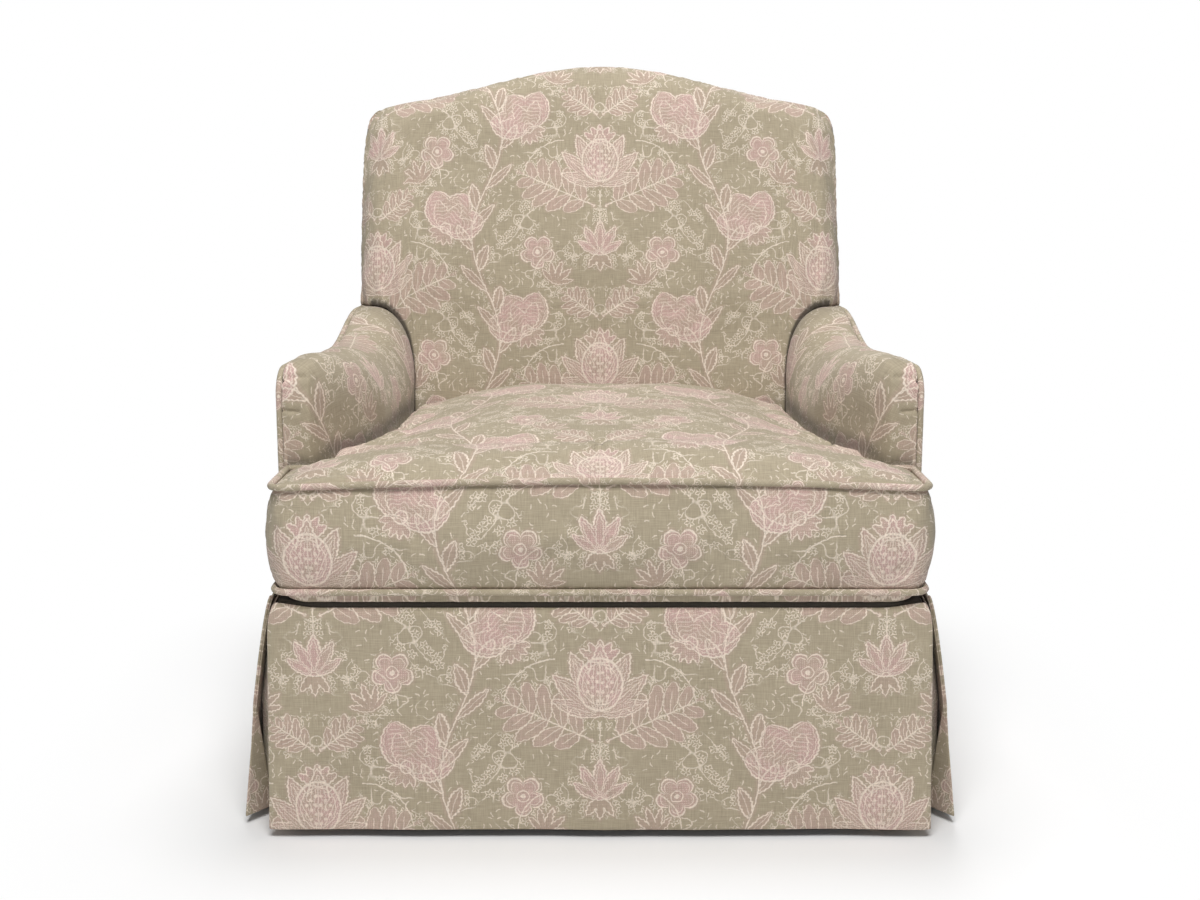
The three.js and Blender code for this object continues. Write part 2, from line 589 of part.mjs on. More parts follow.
// Shares from -1 to 1 across the back, and from 0 to 1 up it, closer together where its edges turn
const EDGE_SHARE = BACK_EDGE_ROUND / BACK_HALF_WIDTH;
const turnedShares = steps(EDGE_STEPS).map((t) => 1 - EDGE_SHARE * (1 - Math.sin((t * Math.PI) / 2)));
const acrossShares = [...turnedShares.slice(1).reverse().map((t) => -t),
  ...steps(ACROSS_STEPS, EDGE_SHARE - 1, 1 - EDGE_SHARE), ...turnedShares.slice(1)];
const upShares = [...steps(UP_STEPS, 0, 1 - EDGE_SHARE), ...turnedShares.slice(1)];

function backPoint(u, v, inset) {
  const x = u * (backHalf(BACK_BOTTOM + v * (BACK_HEIGHT - BACK_BOTTOM)) - inset);
  const cornerStart = BACK_TOP_HALF_WIDTH - BACK_CORNER_RADIUS;
  const corner = THREE.MathUtils.clamp((Math.abs(x) - cornerStart) / (BACK_CORNER_RADIUS - inset), 0, 1);
  const top = camelTop(x) - inset - (BACK_CORNER_RADIUS - inset) * quarterRound(corner);
  const z = BACK_BOTTOM + v * (top - BACK_BOTTOM);
  return v3(x, backFace(x, z, inset), z);
}

const behind = (p, depth) => v3(p.x, rearFace(p.z) - depth, p.z);

function backPad() {
  const front = acrossShares.map((u) => upShares.map((v) => backPoint(u, v, SKIN + PAD_GAP)));
  const depth = BACK_FRAME_DEPTH + FRAME_BOARD + GAP + WEB_THICKNESS + GAP;
  return sheet(front, front.map((row) => row.map((p) => behind(p, depth))));
}

function backCoverRows(inset) {
  const rows = acrossShares.map((u) => {
    const row = upShares.map((v) => backPoint(u, v, inset));
    return [...row, behind(row[row.length - 1], FACE_INSET)];
  });
  const rim = (row) => row.map((p) => behind(p, FACE_INSET));
  return [rim(rows[0]), ...rows, rim(rows[rows.length - 1])];
}

function backCover() {
  return sheet(backCoverRows(0), backCoverRows(SKIN));
}

// The outline of the outside back, from the lower left corner over the top to the lower right corner
const OUTLINE_RISERS = 6;
const OUTLINE_STEPS = 5;
function backOutline(inset) {
  const radius = BACK_CORNER_RADIUS - inset;
  const middle = BACK_TOP_HALF_WIDTH - BACK_CORNER_RADIUS;
  const shoulder = camelTop(middle) - BACK_CORNER_RADIUS;
  const up = steps(OUTLINE_RISERS, PANEL_BOTTOM, shoulder).slice(0, -1).map((z) => [inset - backHalf(z), z]);
  const turn = arc(-middle, shoulder, radius, Math.PI, Math.PI / 2);
  const over = steps(OUTLINE_STEPS, -middle, 0).slice(1).map((x) => [x, camelTop(x) - inset]);
  const left = [...up, ...turn, ...over];
  return [...left, ...[...left].reverse().slice(1).map(([x, z]) => [-x, z])];
}

function outsideBackPanel() {
  return rakedPrism(backOutline(FACE_INSET), WELT - PANEL_THICKNESS, PANEL_THICKNESS);
}

function backWelt() {
  const points = backOutline(WELT_RADIUS).map(([x, z]) => v3(x, rearFace(z) - WELT_RADIUS, z));
  return welt(points, v3(0, Math.cos(RAKE), -Math.sin(RAKE)));
}

const POST_OUTER = BACK_TOP_HALF_WIDTH - POST_INSET;
const POST_INNER = POST_OUTER - POST_WIDTH;
const POST_TOP = camelTop(POST_OUTER) - TOP_RAIL_COVERING - TOP_RAIL_HEIGHT;

function backPost() {
  return rakedPrism([[POST_INNER, RAIL_TOP + GAP], [POST_OUTER, RAIL_TOP + GAP], [POST_OUTER, POST_TOP],
    [POST_INNER, POST_TOP]], BACK_FRAME_DEPTH, FRAME_BOARD);
}

const CREST_STEPS = 12;
function backTopRail() {
  const low = POST_TOP + GAP;
  const crest = steps(CREST_STEPS, POST_OUTER, -POST_OUTER).map((x) => [x, camelTop(x) - TOP_RAIL_COVERING]);
  return rakedPrism([[-POST_OUTER, low], [POST_OUTER, low], ...crest], BACK_FRAME_DEPTH, FRAME_BOARD);
}

const TACK_RAIL_BOTTOM = RAIL_TOP + TACK_RAIL_LIFT;
const TACK_RAIL_TOP = TACK_RAIL_BOTTOM + TACK_RAIL_HEIGHT;
function backTackRail() {
  const reach = POST_INNER - GAP;
  return rakedPrism([[-reach, TACK_RAIL_BOTTOM], [reach, TACK_RAIL_BOTTOM], [reach, TACK_RAIL_TOP],
    [-reach, TACK_RAIL_TOP]], BACK_FRAME_DEPTH, FRAME_BOARD);
}

// One web lies between the tack rail and the arm boards, the others between the arm boards and the top rail.
const webLevels = [(TACK_RAIL_TOP + BOARD_BOTTOM) / 2,
  ...steps(UPPER_WEB_COUNT + 1, BOARD_TOP, POST_TOP).slice(1, -1)];
const webHalf = (WEB_HEIGHT_SHARE * (POST_TOP - BOARD_TOP)) / (UPPER_WEB_COUNT + 1) / 2;
function backWeb(level) {
  const [low, high] = [level - webHalf, level + webHalf];
  return rakedPrism([[-POST_OUTER, low], [POST_OUTER, low], [POST_OUTER, high], [-POST_OUTER, high]],
    BACK_FRAME_DEPTH + FRAME_BOARD + GAP, WEB_THICKNESS);
}

// Skirt. Each panel hangs between a path along the rails and a path along the hem. Shares run down it.
const RAIL_SHARE = (SKIRT_TOP - FOOT_HEIGHT) / (SKIRT_TOP - SKIRT_CLEARANCE);
const TOP_ROW_SHARE = RAIL_SHARE / 6; // the first row lies close under the top, where a panel starts to swell
const hangShares = [0, TOP_ROW_SHARE, RAIL_SHARE / 2, RAIL_SHARE, (1 + RAIL_SHARE) / 2, 1];
function hangingPanel(path, thickness) {
  const height = (share) => SKIRT_TOP + (SKIRT_CLEARANCE - SKIRT_TOP) * share;
  const side = (inwards) => path.map((at) => hangShares.map((share) => {
    const [x, y] = at(share, inwards);
    return v3(x, y, height(share));
  }));
  return sheet(side(0), side(thickness));
}

const crossHalf = (y, share) => bodyHalf(y) - FRONT_PANEL_INSET + FRONT_PANEL_SPREAD * share;
const frontFace = (share) => -FRONT_KICK * share;
const rearSkirtFace = (share) => BASE_DEPTH + REAR_KICK * share;
const CROSS_COLUMNS = 8;

function frontPanel() {
  return hangingPanel(steps(CROSS_COLUMNS, -1, 1).map((t) => (share, inwards) =>
    [t * crossHalf(0, share), frontFace(share) + inwards]), SKIRT_THICKNESS);
}

function rearPanel() {
  return hangingPanel(steps(CROSS_COLUMNS, -1, 1).map((t) => (share, inwards) =>
    [t * crossHalf(BASE_DEPTH, share), rearSkirtFace(share) - inwards]), SKIRT_THICKNESS);
}

const EAR_COLUMNS = 2;
const SIDE_COLUMNS = 6;
const sideStops = [...steps(EAR_COLUMNS, SIDE_PANEL_INSET, ARM_SETBACK),
  ...steps(SIDE_COLUMNS, ARM_SETBACK, BASE_DEPTH - SIDE_PANEL_INSET).slice(1)];
function sideFace(y, share) {
  const t = (2 * y) / BASE_DEPTH - 1;
  const kick = SIDE_KICK_MIDDLE + (SIDE_KICK - SIDE_KICK_MIDDLE) * t * t;
  return bodyHalf(y) + kick * share ** SIDE_KICK_POWER_SHARE;
}

function sidePanel() {
  return hangingPanel(sideStops.map((y) => (share, inwards) => [sideFace(y, share) - inwards, y]),
    SKIRT_THICKNESS);
}

// The insert behind a corner: from behind the front or rear panel, round the rails' corner, and behind the
// side panel. Below the rails its middle falls back into a fold.
function pleatInsert(atFront) {
  const inwards = atFront ? 1 : -1;
  const edge = atFront ? 0 : BASE_DEPTH;
  const fold = (share) => Math.max(0, (share - RAIL_SHARE) / (1 - RAIL_SHARE));
  const face = (share) => (atFront ? frontFace(share) : rearSkirtFace(share)) + inwards * PLEAT_INSET;
  const panelEnd = (share) => crossHalf(edge, share);
  const corner = bodyHalf(edge + inwards * (PLEAT_INSET + PLEAT_THICKNESS)) - PLEAT_INSET;
  const cornerX = (share) => corner + (panelEnd(1) - PLEAT_REACH / 2 - corner) * fold(share);
  const sideEnd = edge + inwards * (SIDE_PANEL_INSET + PLEAT_REACH);
  const behindCross = (share, depth) => [panelEnd(share) - PLEAT_REACH, face(share) + inwards * depth];
  const middle = (share, depth) => [cornerX(share) - depth,
    face(share) + inwards * (PLEAT_DEPTH * fold(share) + depth)];
  const behindSide = (share, depth) => [sideFace(sideEnd, share) - PLEAT_INSET - depth, sideEnd];
  return hangingPanel([behindCross, middle, behindSide], PLEAT_THICKNESS);
}

// Seat cushion. The seat's outline is T-shaped: two ears in front of the arms and a stem between them.
const FRONT_STEPS = 4; // along half of the front edge
const STEM_STEPS = 2;
const REAR_STEPS = 3; // along half of the rear edge
function seatOutline({ front, ear, earRadius, clear, rear }) {
  const earRear = ARM_SETBACK - clear;
  const notch = steps(NOSE_STEPS).map((t) => nosePoint(t, clear));
  const stem = (y) => armInner(y) - clear;
  const stemEnd = rear - CUSHION_REAR_RADIUS;
  const corner = stem(rear) - CUSHION_REAR_RADIUS;
  const half = [...steps(FRONT_STEPS, 0, ear - earRadius).slice(0, -1).map((x) => [x, front]),
    ...arc(ear - earRadius, front + earRadius, earRadius, -Math.PI / 2, 0),
    ...arc(ear - CUSHION_EAR_CORNER, earRear - CUSHION_EAR_CORNER, CUSHION_EAR_CORNER, 0, Math.PI / 2),
    ...notch,
    ...steps(STEM_STEPS, NOSE_END, stemEnd).slice(1, -1).map((y) => [stem(y), y]),
    ...arc(corner, stemEnd, CUSHION_REAR_RADIUS, 0, Math.PI / 2),
    ...steps(REAR_STEPS, corner, 0).slice(1).map((x) => [x, rear])];
  return [...half, ...half.slice(1, -1).reverse().map(([x, y]) => [-x, y])];
}

// How far the inside back swells forward of its sides just above the cushion
const SWELL_CHECKS = 8;
const backSwell = Math.max(...steps(SWELL_CHECKS, BACK_BOTTOM, UPPER_WELT + CUSHION_CROWN).map((z) =>
  SEAT_DEPTH - backFace(0, z)));
const CUSHION_REAR = SEAT_DEPTH - backSwell - CUSHION_CLEARANCE;
const cushionOutline = (inset) => seatOutline({ front: inset - CUSHION_OVERHANG,
  ear: CUSHION_EAR_HALF - inset, earRadius: CUSHION_EAR_RADIUS, clear: CUSHION_CLEARANCE + inset,
  rear: CUSHION_REAR - inset });

const SPINE_FRONT = ARM_SETBACK * CUSHION_SPINE_FRONT_SHARE;
const SPINE_REAR = SEAT_DEPTH * CUSHION_SPINE_REAR_SHARE;
const spineY = (y) => SPINE_FRONT + (SPINE_REAR - SPINE_FRONT)
  * THREE.MathUtils.clamp((y - ARM_SETBACK) / (CUSHION_REAR - CUSHION_REAR_RADIUS - ARM_SETBACK), 0, 1);
const spineTop = (y) => UPPER_WELT + CUSHION_CROWN
  - CUSHION_FRONT_FALL * ((SPINE_REAR - y) / (SPINE_REAR - SPINE_FRONT)) ** 2;

function weltHeight(x, y) {
  const nearFront = hump((y + CUSHION_OVERHANG) / ARM_SETBACK);
  const across = 1 - Math.min(1, Math.abs(x) / CUSHION_EAR_HALF) ** 2;
  return UPPER_WELT + CUSHION_FRONT_ARCH * nearFront * across;
}

const BOXING_STEPS = 3;
const TOP_STEPS = 5;
function cushionRows(depth) {
  const outline = cushionOutline(WELT_RADIUS + WELT_SEAT + depth);
  return outline.map(([x, y], index) => {
    const [px, py] = outline[(index + outline.length - 1) % outline.length];
    const [nx, ny] = outline[(index + 1) % outline.length];
    const length = Math.hypot(nx - px, ny - py);
    const [outX, outY] = [(ny - py) / length, (px - nx) / length];
    const spine = spineY(y);
    const inwards = (share, z) => v3(x * share, spine + (y - spine) * share, z);
    const top = weltHeight(x, y) - WELT_SEAT - depth;
    const low = LOWER_WELT + WELT_SEAT + depth;
    const free = smooth((ARM_SETBACK - y) / ARM_SETBACK);
    const boxing = steps(BOXING_STEPS).map((t) => {
      const swell = CUSHION_SWELL * Math.sin(Math.PI * t) * free;
      return v3(x + outX * swell, y + outY * swell, low + (top - low) * t);
    });
    const peak = spineTop(spine) - depth;
    const crown = steps(TOP_STEPS, 1, 0).slice(1).map((share) =>
      inwards(share, top + (peak - top) * (1 - share ** CUSHION_CROWN_POWER_SHARE)));
    const underside = [0, CUSHION_FLAT_SHARE].map((share) => inwards(share, CUSHION_BOTTOM + depth));
    return [...underside, ...boxing, ...crown];
  });
}

function zipSlot(grow) {
  const half = armInner(CUSHION_REAR) - CUSHION_CLEARANCE - CUSHION_REAR_RADIUS - ZIP_MARGIN + grow;
  const middle = (LOWER_WELT + UPPER_WELT) / 2;
  const face = CUSHION_REAR - WELT_RADIUS - WELT_SEAT;
  const overrun = grow ? CUT_OVERRUN : 0;
  return box(-half, half, face - SKIN - overrun, face + overrun, middle - ZIP_HEIGHT / 2 - grow,
    middle + ZIP_HEIGHT / 2 + grow);
}

const cushionCover = () => cut(cushionForm(cushionRows(0)), cushionForm(cushionRows(SKIN)), zipSlot(GAP));

function cushionWelt(upper) {
  const points = cushionOutline(WELT_RADIUS).map(([x, y]) => v3(x, y, upper ? weltHeight(x, y) : LOWER_WELT));
  return welt(points, v3(0, 0, 1), true);
}

// The deck fills the seat between the skirt's top, the arms and the back.
function deckPad() {
  return prism(seatOutline({ front: FRONT_RAIL, ear: railOuter(0), earRadius: CUSHION_EAR_CORNER,
    clear: CUSHION_CLEARANCE, rear: SEAT_DEPTH - DECK_REAR_INSET }), DECK_BOTTOM, DECK_TOP);
}

// Assembly
piece('front_seat_rail', 'wood', crossRail(FRONT_RAIL, FRONT_RAIL_REAR));
piece('rear_seat_rail', 'wood', crossRail(REAR_RAIL, REAR_RAIL_END));
piece('dust_cover', 'dust', dustCover());
piece('seat_deck', 'lining', deckPad());
for (let i = 0; i < SPRING_COUNT; i += 1) {
  const span = railInner(REAR_RAIL) - SPRING_HALF_WIDTH - SPRING_WIRE_RADIUS;
  const x = span * ((2 * (i + 1)) / (SPRING_COUNT + 1) - 1);
  piece(`seat_spring_${i + 1}`, 'steel', sinuousSpring(x));
}

for (const [side, mirror] of [['left', -1], ['right', 1]]) {
  const group = new THREE.Group();
  group.scale.x = mirror;
  parts.add(group);
  piece(`${side}_seat_rail`, 'wood', sideRail(), group);
  piece(`${side}_arm_stump`, 'wood', armStump(), group);
  piece(`${side}_arm_board`, 'wood', armBoard(), group);
  piece(`${side}_back_post`, 'wood', backPost(), group);
  piece(`${side}_arm_pad`, 'foam', armPad(), group);
  piece(`${side}_arm_cover`, 'fabric', armCover(), group);
  piece(`${side}_outside_arm_panel`, 'fabric', outsideArmPanel(), group);
  piece(`${side}_arm_welt`, 'fabric', armWelt(), group);
  piece(`${side}_skirt_panel`, 'fabric', sidePanel(), group);
  for (const [end, y] of Object.entries(FEET)) {
    piece(`${end}_${side}_foot`, 'wood', foot(y), group);
    piece(`${end}_${side}_glide`, 'glide', glide(y), group);
    const atFront = end === 'front';
    piece(`${end}_${side}_corner_block`, 'wood',
      cornerBlock(atFront ? FRONT_RAIL_REAR : REAR_RAIL, atFront ? 1 : -1), group);
    piece(`${end}_${side}_pleat_insert`, 'fabric', pleatInsert(atFront), group);
  }
}

piece('back_top_rail', 'wood', backTopRail());
piece('back_tack_rail', 'wood', backTackRail());
webLevels.forEach((level, i) => piece(`back_web_${i + 1}`, 'webbing', backWeb(level)));
piece('back_pad', 'foam', cut(backPad(), armBoard(GAP), mirrored(armBoard(GAP))));
piece('back_cover', 'fabric', cut(backCover(), armBoard(GAP), mirrored(armBoard(GAP))));
piece('outside_back_panel', 'fabric', outsideBackPanel());
piece('back_welt', 'fabric', backWelt());
piece('front_skirt_panel', 'fabric', frontPanel());
piece('rear_skirt_panel', 'fabric', rearPanel());

piece('cushion_core', 'foam', cushionForm(cushionRows(SKIN + PAD_GAP)));
piece('cushion_cover', 'fabric', cushionCover());
piece('cushion_upper_welt', 'fabric', cushionWelt(true));
piece('cushion_lower_welt', 'fabric', cushionWelt(false));
piece('cushion_zip', 'zip', zipSlot(0));

// The chair is moved so that the origin lies in the middle of its outline, on the floor.
const outline = new THREE.Box3().setFromObject(parts);
parts.position.y = -(outline.min.y + outline.max.y) / 2;

export default parts;
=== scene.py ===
"""Covers, padding, print and studio for a skirted armchair with a camel back and a loose T-shaped cushion.

Lengths are metres. The chair faces -Y. Depth, in the formulas, is counted from the top of the front skirt
towards the back, as the upholsterer measures it, and PLAN_Y turns it into the frame's Y.
"""
import math

import bmesh
import bpy
import numpy as np
from bpy.props import FloatProperty, FloatVectorProperty, IntProperty, PointerProperty
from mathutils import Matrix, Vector


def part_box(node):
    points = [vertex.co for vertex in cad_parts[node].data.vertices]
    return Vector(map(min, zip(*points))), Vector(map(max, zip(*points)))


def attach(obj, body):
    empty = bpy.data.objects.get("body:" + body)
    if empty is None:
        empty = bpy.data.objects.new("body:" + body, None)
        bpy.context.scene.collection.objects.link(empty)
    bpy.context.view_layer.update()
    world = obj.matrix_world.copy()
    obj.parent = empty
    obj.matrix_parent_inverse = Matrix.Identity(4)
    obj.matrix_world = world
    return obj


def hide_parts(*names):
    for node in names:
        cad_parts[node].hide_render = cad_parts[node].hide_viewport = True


bl_info = {
    "name": "Skirted armchair",
    "version": (1, 0, 0),
    "blender": (4, 5, 0),
    "location": "View3D > Sidebar > Armchair",
    "description": "Upholsters the frame of a skirted armchair in a printed linen",
    "category": "Add Mesh",
}

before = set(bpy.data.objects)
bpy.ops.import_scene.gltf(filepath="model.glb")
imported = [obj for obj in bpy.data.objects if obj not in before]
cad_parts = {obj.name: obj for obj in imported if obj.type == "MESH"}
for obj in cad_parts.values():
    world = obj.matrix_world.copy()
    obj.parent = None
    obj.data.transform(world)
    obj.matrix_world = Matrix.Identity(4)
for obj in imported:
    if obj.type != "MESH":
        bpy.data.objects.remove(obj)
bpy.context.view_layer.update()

# Sizes that the covers share with the frame
RAIL_INSET = 0.0076
PLAN_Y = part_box("front_seat_rail")[0][1] - RAIL_INSET
BASE_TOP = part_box("front_seat_rail")[1][2]
RAIL_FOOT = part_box("front_seat_rail")[0][2]
ARM_HALF = 0.389
FRONT_TAPER = 0.007
REAR_TAPER = 0.031
SEAT_DEPTH = 0.545
BACK_THICKNESS = 0.130
SEAT_LINE = 0.440
RAKE = math.radians(15)
RAKE_BLEND = 0.060
BASE_DEPTH = SEAT_DEPTH + BACK_THICKNESS + (BASE_TOP - SEAT_LINE) * math.tan(RAKE)
WELT_RADIUS = 0.004
FACE_INSET = 0.0083
COVER_FOOT = 0.2683
PANEL_FOOT = 0.2845
COVER_THICKNESS = 0.0024
SKIRT_THICKNESS = 0.0026
INSERT_THICKNESS = 0.0018

ARM_SETBACK = 0.123
ARM_WIDTH = 0.096
ARM_LINE = 0.530
ARM_FRONT_RISE = 0.010
ARM_FALL_START = 0.180
ARM_FRONT_LENGTH = 0.150
ARM_RISE = 0.038
ARM_RISE_START = 0.411
ARM_RISE_LENGTH = 0.170
ARM_CROWN = 0.008
ARM_REAR_CROWN = 0.002
ARM_ROLL_DROP = 0.096
ARM_CROWN_SHARE = 0.34
NOSE_RADIUS = 0.034
NOSE_LENGTH = 0.190
NOSE_FLAT = 0.040
NOSE_POWER = 2 / 1.3
CROWN_START = ARM_SETBACK + NOSE_RADIUS
NOSE_END = ARM_SETBACK + NOSE_LENGTH
ARM_JOIN = ARM_LINE + ARM_RISE
ARM_TUCK = 0.005
ARM_END_GUESS = 0.560
CREASE_DEPTH = 0.012
CREASE_REACH = 0.036
ARM_DIP = 0.006
DIP_REACH = 0.018
POCKET_DEPTH = 0.020
POCKET_START = 0.006
POCKET_SLOPE = 0.007
POCKET_SCALE = 0.070
# Near black of the painted shade in the creases, where the contact shadow falls
CREASE_SHADE_COLOUR = (0.040, 0.032, 0.024)
LOOSENESS = 0.02

ARM_DARTS = (((0.3792, 0.5235), (0.3737, 0.5275), (0.3640, 0.5295), (0.3540, 0.5290)),
             ((0.3792, 0.4890), (0.3720, 0.4880), (0.3620, 0.4872)))

BACK_HEIGHT = 0.915
BACK_HALF = ARM_HALF - REAR_TAPER - FACE_INSET
BACK_TOP_HALF = BACK_HALF - 0.0067
BACK_SWELL = 0.007
CAMEL_SLOPE = 0.25
CAMEL_SOFTNESS = 0.096
BACK_CORNER = 0.022
BACK_EDGE = 0.034
BACK_CROWN = 0.016
PAD_DEPTH = 0.041
PANEL_SINK = 0.003
PANEL_HOLLOW = 0.0012
WEB_DEPTH = 0.0401

SKIRT_TOP = 0.2832
SKIRT_HEM = 0.012
SKIRT_TUCK = 0.0044
FRONT_DROP = 0.0056
REAR_DROP = 0.0008
INSERT_DROP = 0.0060
SIDE_FLARE = 0.030
RETURN_START = 0.030
RETURN_END = 0.050
HEM_BAND = 0.025
FRONT_KICK = 0.005
REAR_KICK = 0.026

CUSHION_FOOT = 0.2845
LOWER_WELT = 0.2985
UPPER_WELT = 0.4195
CUSHION_FRONT = -0.008
EAR_HALF = ARM_HALF - 0.009
EAR_RADIUS = 0.022
CUSHION_CLEAR = 0.0012
CUSHION_REAR = 0.5393
REAR_CORNER = 0.030
SIDES = (("left", -1), ("right", 1))
SEAM_INSET = 0.0066
SEAM_GAP = 0.0006
FRONT_ARCH = 0.009
CROWN_BULGE = 0.014
SPINE_FRONT = 0.0984
SPINE_REAR = 0.43055
SPINE_FALL = 0.020
ZIP_HEIGHT = 0.359

DECK_REAR = 0.53097
DECK_ROUND = 0.005

LAMP_AIM = Vector((0.0, 0.0, 0.45))


def smooth(t):
    """An easy step from 0 to 1: three times the square less twice the cube."""
    k = np.clip(t, 0, 1)
    return k * k * (3 - 2 * k)


def quarter_round(t):
    """The drop of a quarter circle: 1 less the root of 1 less t squared."""
    return 1 - np.sqrt(np.maximum(0, 1 - np.asarray(t) ** 2))


def rear_plane(z):
    """Depth of the outside back: a plane that leans back by the rake."""
    return SEAT_DEPTH + BACK_THICKNESS + (z - SEAT_LINE) * math.tan(RAKE)


def body_half(d):
    """Half of the body's width at a depth: it widens to the arms and narrows to the back, in straight lines."""
    ahead = ARM_HALF - FRONT_TAPER * (1 - d / ARM_SETBACK)
    behind = ARM_HALF - REAR_TAPER * np.clip((d - ARM_SETBACK) / (BASE_DEPTH - ARM_SETBACK), 0, 1)
    return np.where(np.asarray(d) < ARM_SETBACK, ahead, behind)


def arm_rise(d):
    return smooth((d - ARM_RISE_START) / ARM_RISE_LENGTH)


def arm_line(d):
    """Height of the outer welt: it falls easily from the nose, runs level and rises easily to the back."""
    return ARM_LINE + ARM_FRONT_RISE * (1 - smooth((d - ARM_FALL_START) / ARM_FRONT_LENGTH)) \
        + ARM_RISE * arm_rise(d)


def arm_crown(d):
    """How far the roll crowns over the outer welt: less towards the back."""
    return ARM_CROWN - (ARM_CROWN - ARM_REAR_CROWN) * arm_rise(d + ARM_RISE_LENGTH / 2)


def arm_inner(d):
    return body_half(d) - ARM_WIDTH


def nose_line(t, clear=0.0):
    """The arm's nose in plan: a quarter of an oval whose sine and cosine are raised to a power, moved outwards
    along its normal by a clearance."""
    angle = np.asarray(t) * math.pi / 2
    flat = ARM_HALF - NOSE_FLAT
    reach = flat - float(arm_inner(NOSE_END))
    out = np.stack([-NOSE_LENGTH * np.tan(angle) ** (2 - NOSE_POWER), np.full_like(angle, -reach)])
    out = out / np.linalg.norm(out, axis=0)
    x = flat - reach * np.sin(angle) ** NOSE_POWER + out[0] * clear
    d = ARM_SETBACK + NOSE_LENGTH * (1 - np.clip(np.cos(angle), 0, 1) ** NOSE_POWER) + out[1] * clear
    return x, d


def camel_top(x):
    """Height of the back's top: a rounded crest that falls away in nearly straight lines."""
    return BACK_HEIGHT - CAMEL_SLOPE * (np.hypot(x, CAMEL_SOFTNESS) - CAMEL_SOFTNESS)


def back_half(z):
    """Half the back's width: it swells a little over the arms and narrows by a square towards the top."""
    t = np.clip((z - ARM_JOIN) / (BACK_HEIGHT - ARM_JOIN), 0, 1)
    return BACK_HALF + BACK_SWELL * smooth((z - ARM_JOIN) / 0.050) - (BACK_HALF - BACK_TOP_HALF) * t * t


def back_face(x, z):
    """Depth of the inside back: upright, then leaning by the rake through a soft bend, swelling forwards by a
    parabola across and half a sine up, and turned back in a quarter round at its sides and top."""
    lean = math.tan(RAKE) * (np.hypot(z - SEAT_LINE, RAKE_BLEND) + z - SEAT_LINE) / 2
    half, top = back_half(z), camel_top(x)
    across = 1 - np.minimum(1, np.abs(x) / half) ** 2
    up = np.sin(math.pi * np.clip((z - PANEL_FOOT) / (top - PANEL_FOOT), 0, 1))
    side = np.maximum(0, 1 - (half - np.abs(x)) / BACK_EDGE)
    over = np.maximum(0, 1 - (top - z) / BACK_EDGE)
    return SEAT_DEPTH + lean - BACK_CROWN * across * up + BACK_EDGE * quarter_round(
        np.minimum(1, np.hypot(side, over)))


def arm_pocket(x, z):
    """How far inside the end of an arm a point of the back lies: the arm's section is an upright wall under a
    quarter of an oval, and the distance is read off that oval's own radius."""
    d = back_face(x, z)
    crown = body_half(d) - ARM_WIDTH * ARM_CROWN_SHARE
    across = np.maximum(0, crown - np.abs(x)) / (crown - arm_inner(d) - CREASE_DEPTH)
    top = arm_line(d) + arm_crown(d) - ARM_DIP
    up = np.maximum(0, (z - top + ARM_ROLL_DROP) / ARM_ROLL_DROP)
    return (1 - np.hypot(across, up)) * POCKET_SCALE


# Meshes from grids of points


def points(x, d, z):
    """Three arrays of one shape as an array of points, with depth turned into Y."""
    return np.stack(np.broadcast_arrays(x, np.asarray(d) + PLAN_Y, z), axis=-1).astype(float)


def cell_corners(rows, columns, first):
    """The four corners of each cell of a grid of points, the first of which has the number `first`."""
    i, j = np.meshgrid(np.arange(rows - 1), np.arange(columns - 1), indexing="ij")
    a = first + i * columns + j
    return np.stack([a, a + columns, a + columns + 1, a + 1], axis=-1).reshape(-1, 4)


def run(grid, axis):
    """Length along a grid's rows or columns, from its first point."""
    step = np.linalg.norm(np.diff(grid, axis=axis), axis=-1)
    start = np.zeros_like(np.take(step, [0], axis=axis))
    return np.concatenate([start, np.cumsum(step, axis=axis)], axis=axis)


def link_object(name, data):
    """A new object in the scene's own collection."""
    made = bpy.data.objects.new(name, data)
    bpy.context.scene.collection.objects.link(made)
    return made


def make_piece(name, grids, material):
    """One closed mesh from several grids, each a pair of points and cloth coordinates. Points that meet become
    one."""
    count = np.cumsum([0] + [g.shape[0] * g.shape[1] for g, _ in grids])
    cells = np.concatenate([cell_corners(g.shape[0], g.shape[1], first)
                            for (g, _), first in zip(grids, count)])
    places = np.concatenate([g.reshape(-1, 3) for g, _ in grids])
    cloth = np.concatenate([uv.reshape(-1, 2) for _, uv in grids])
    mesh = bpy.data.meshes.new(name)
    mesh.from_pydata(places.tolist(), [], cells.tolist())
    layer = mesh.uv_layers.new(name="cloth")
    layer.data.foreach_set("uv", cloth[cells.ravel()].ravel())
    form = bmesh.new()
    form.from_mesh(mesh)
    bmesh.ops.remove_doubles(form, verts=form.verts, dist=1e-6)
    bmesh.ops.dissolve_degenerate(form, edges=form.edges, dist=1e-7)
    bmesh.ops.holes_fill(form, edges=[edge for edge in form.edges if edge.is_boundary], sides=0)
    bmesh.ops.recalc_face_normals(form, faces=form.faces)
    form.to_mesh(mesh)
    form.free()
    mesh.polygons.foreach_set("use_smooth", np.ones(len(mesh.polygons), dtype=bool))
    mesh.materials.append(material)
    return link_object(name, mesh)


def places_of(piece):
    found = np.empty(len(piece.data.vertices) * 3)
    piece.data.vertices.foreach_get("co", found)
    return found.reshape(-1, 3)


def normals_of(piece):
    found = np.empty(len(piece.data.vertices) * 3)
    piece.data.vertex_normals.foreach_get("vector", found)
    return found.reshape(-1, 3)


def set_places(piece, places):
    piece.data.vertices.foreach_set("co", places.ravel())
    piece.data.update()


def paint_crease_shade(piece, share):
    """Keep how deep in a crease each vertex lies, 0 to 1, as the share of painted shade that the linen darkens by,
    in place of the contact shadow there.
    """
    layer = piece.data.attributes.new("painted_crease_shade", "FLOAT", "POINT")
    layer.data.foreach_set("value", np.asarray(share, dtype=np.float32))


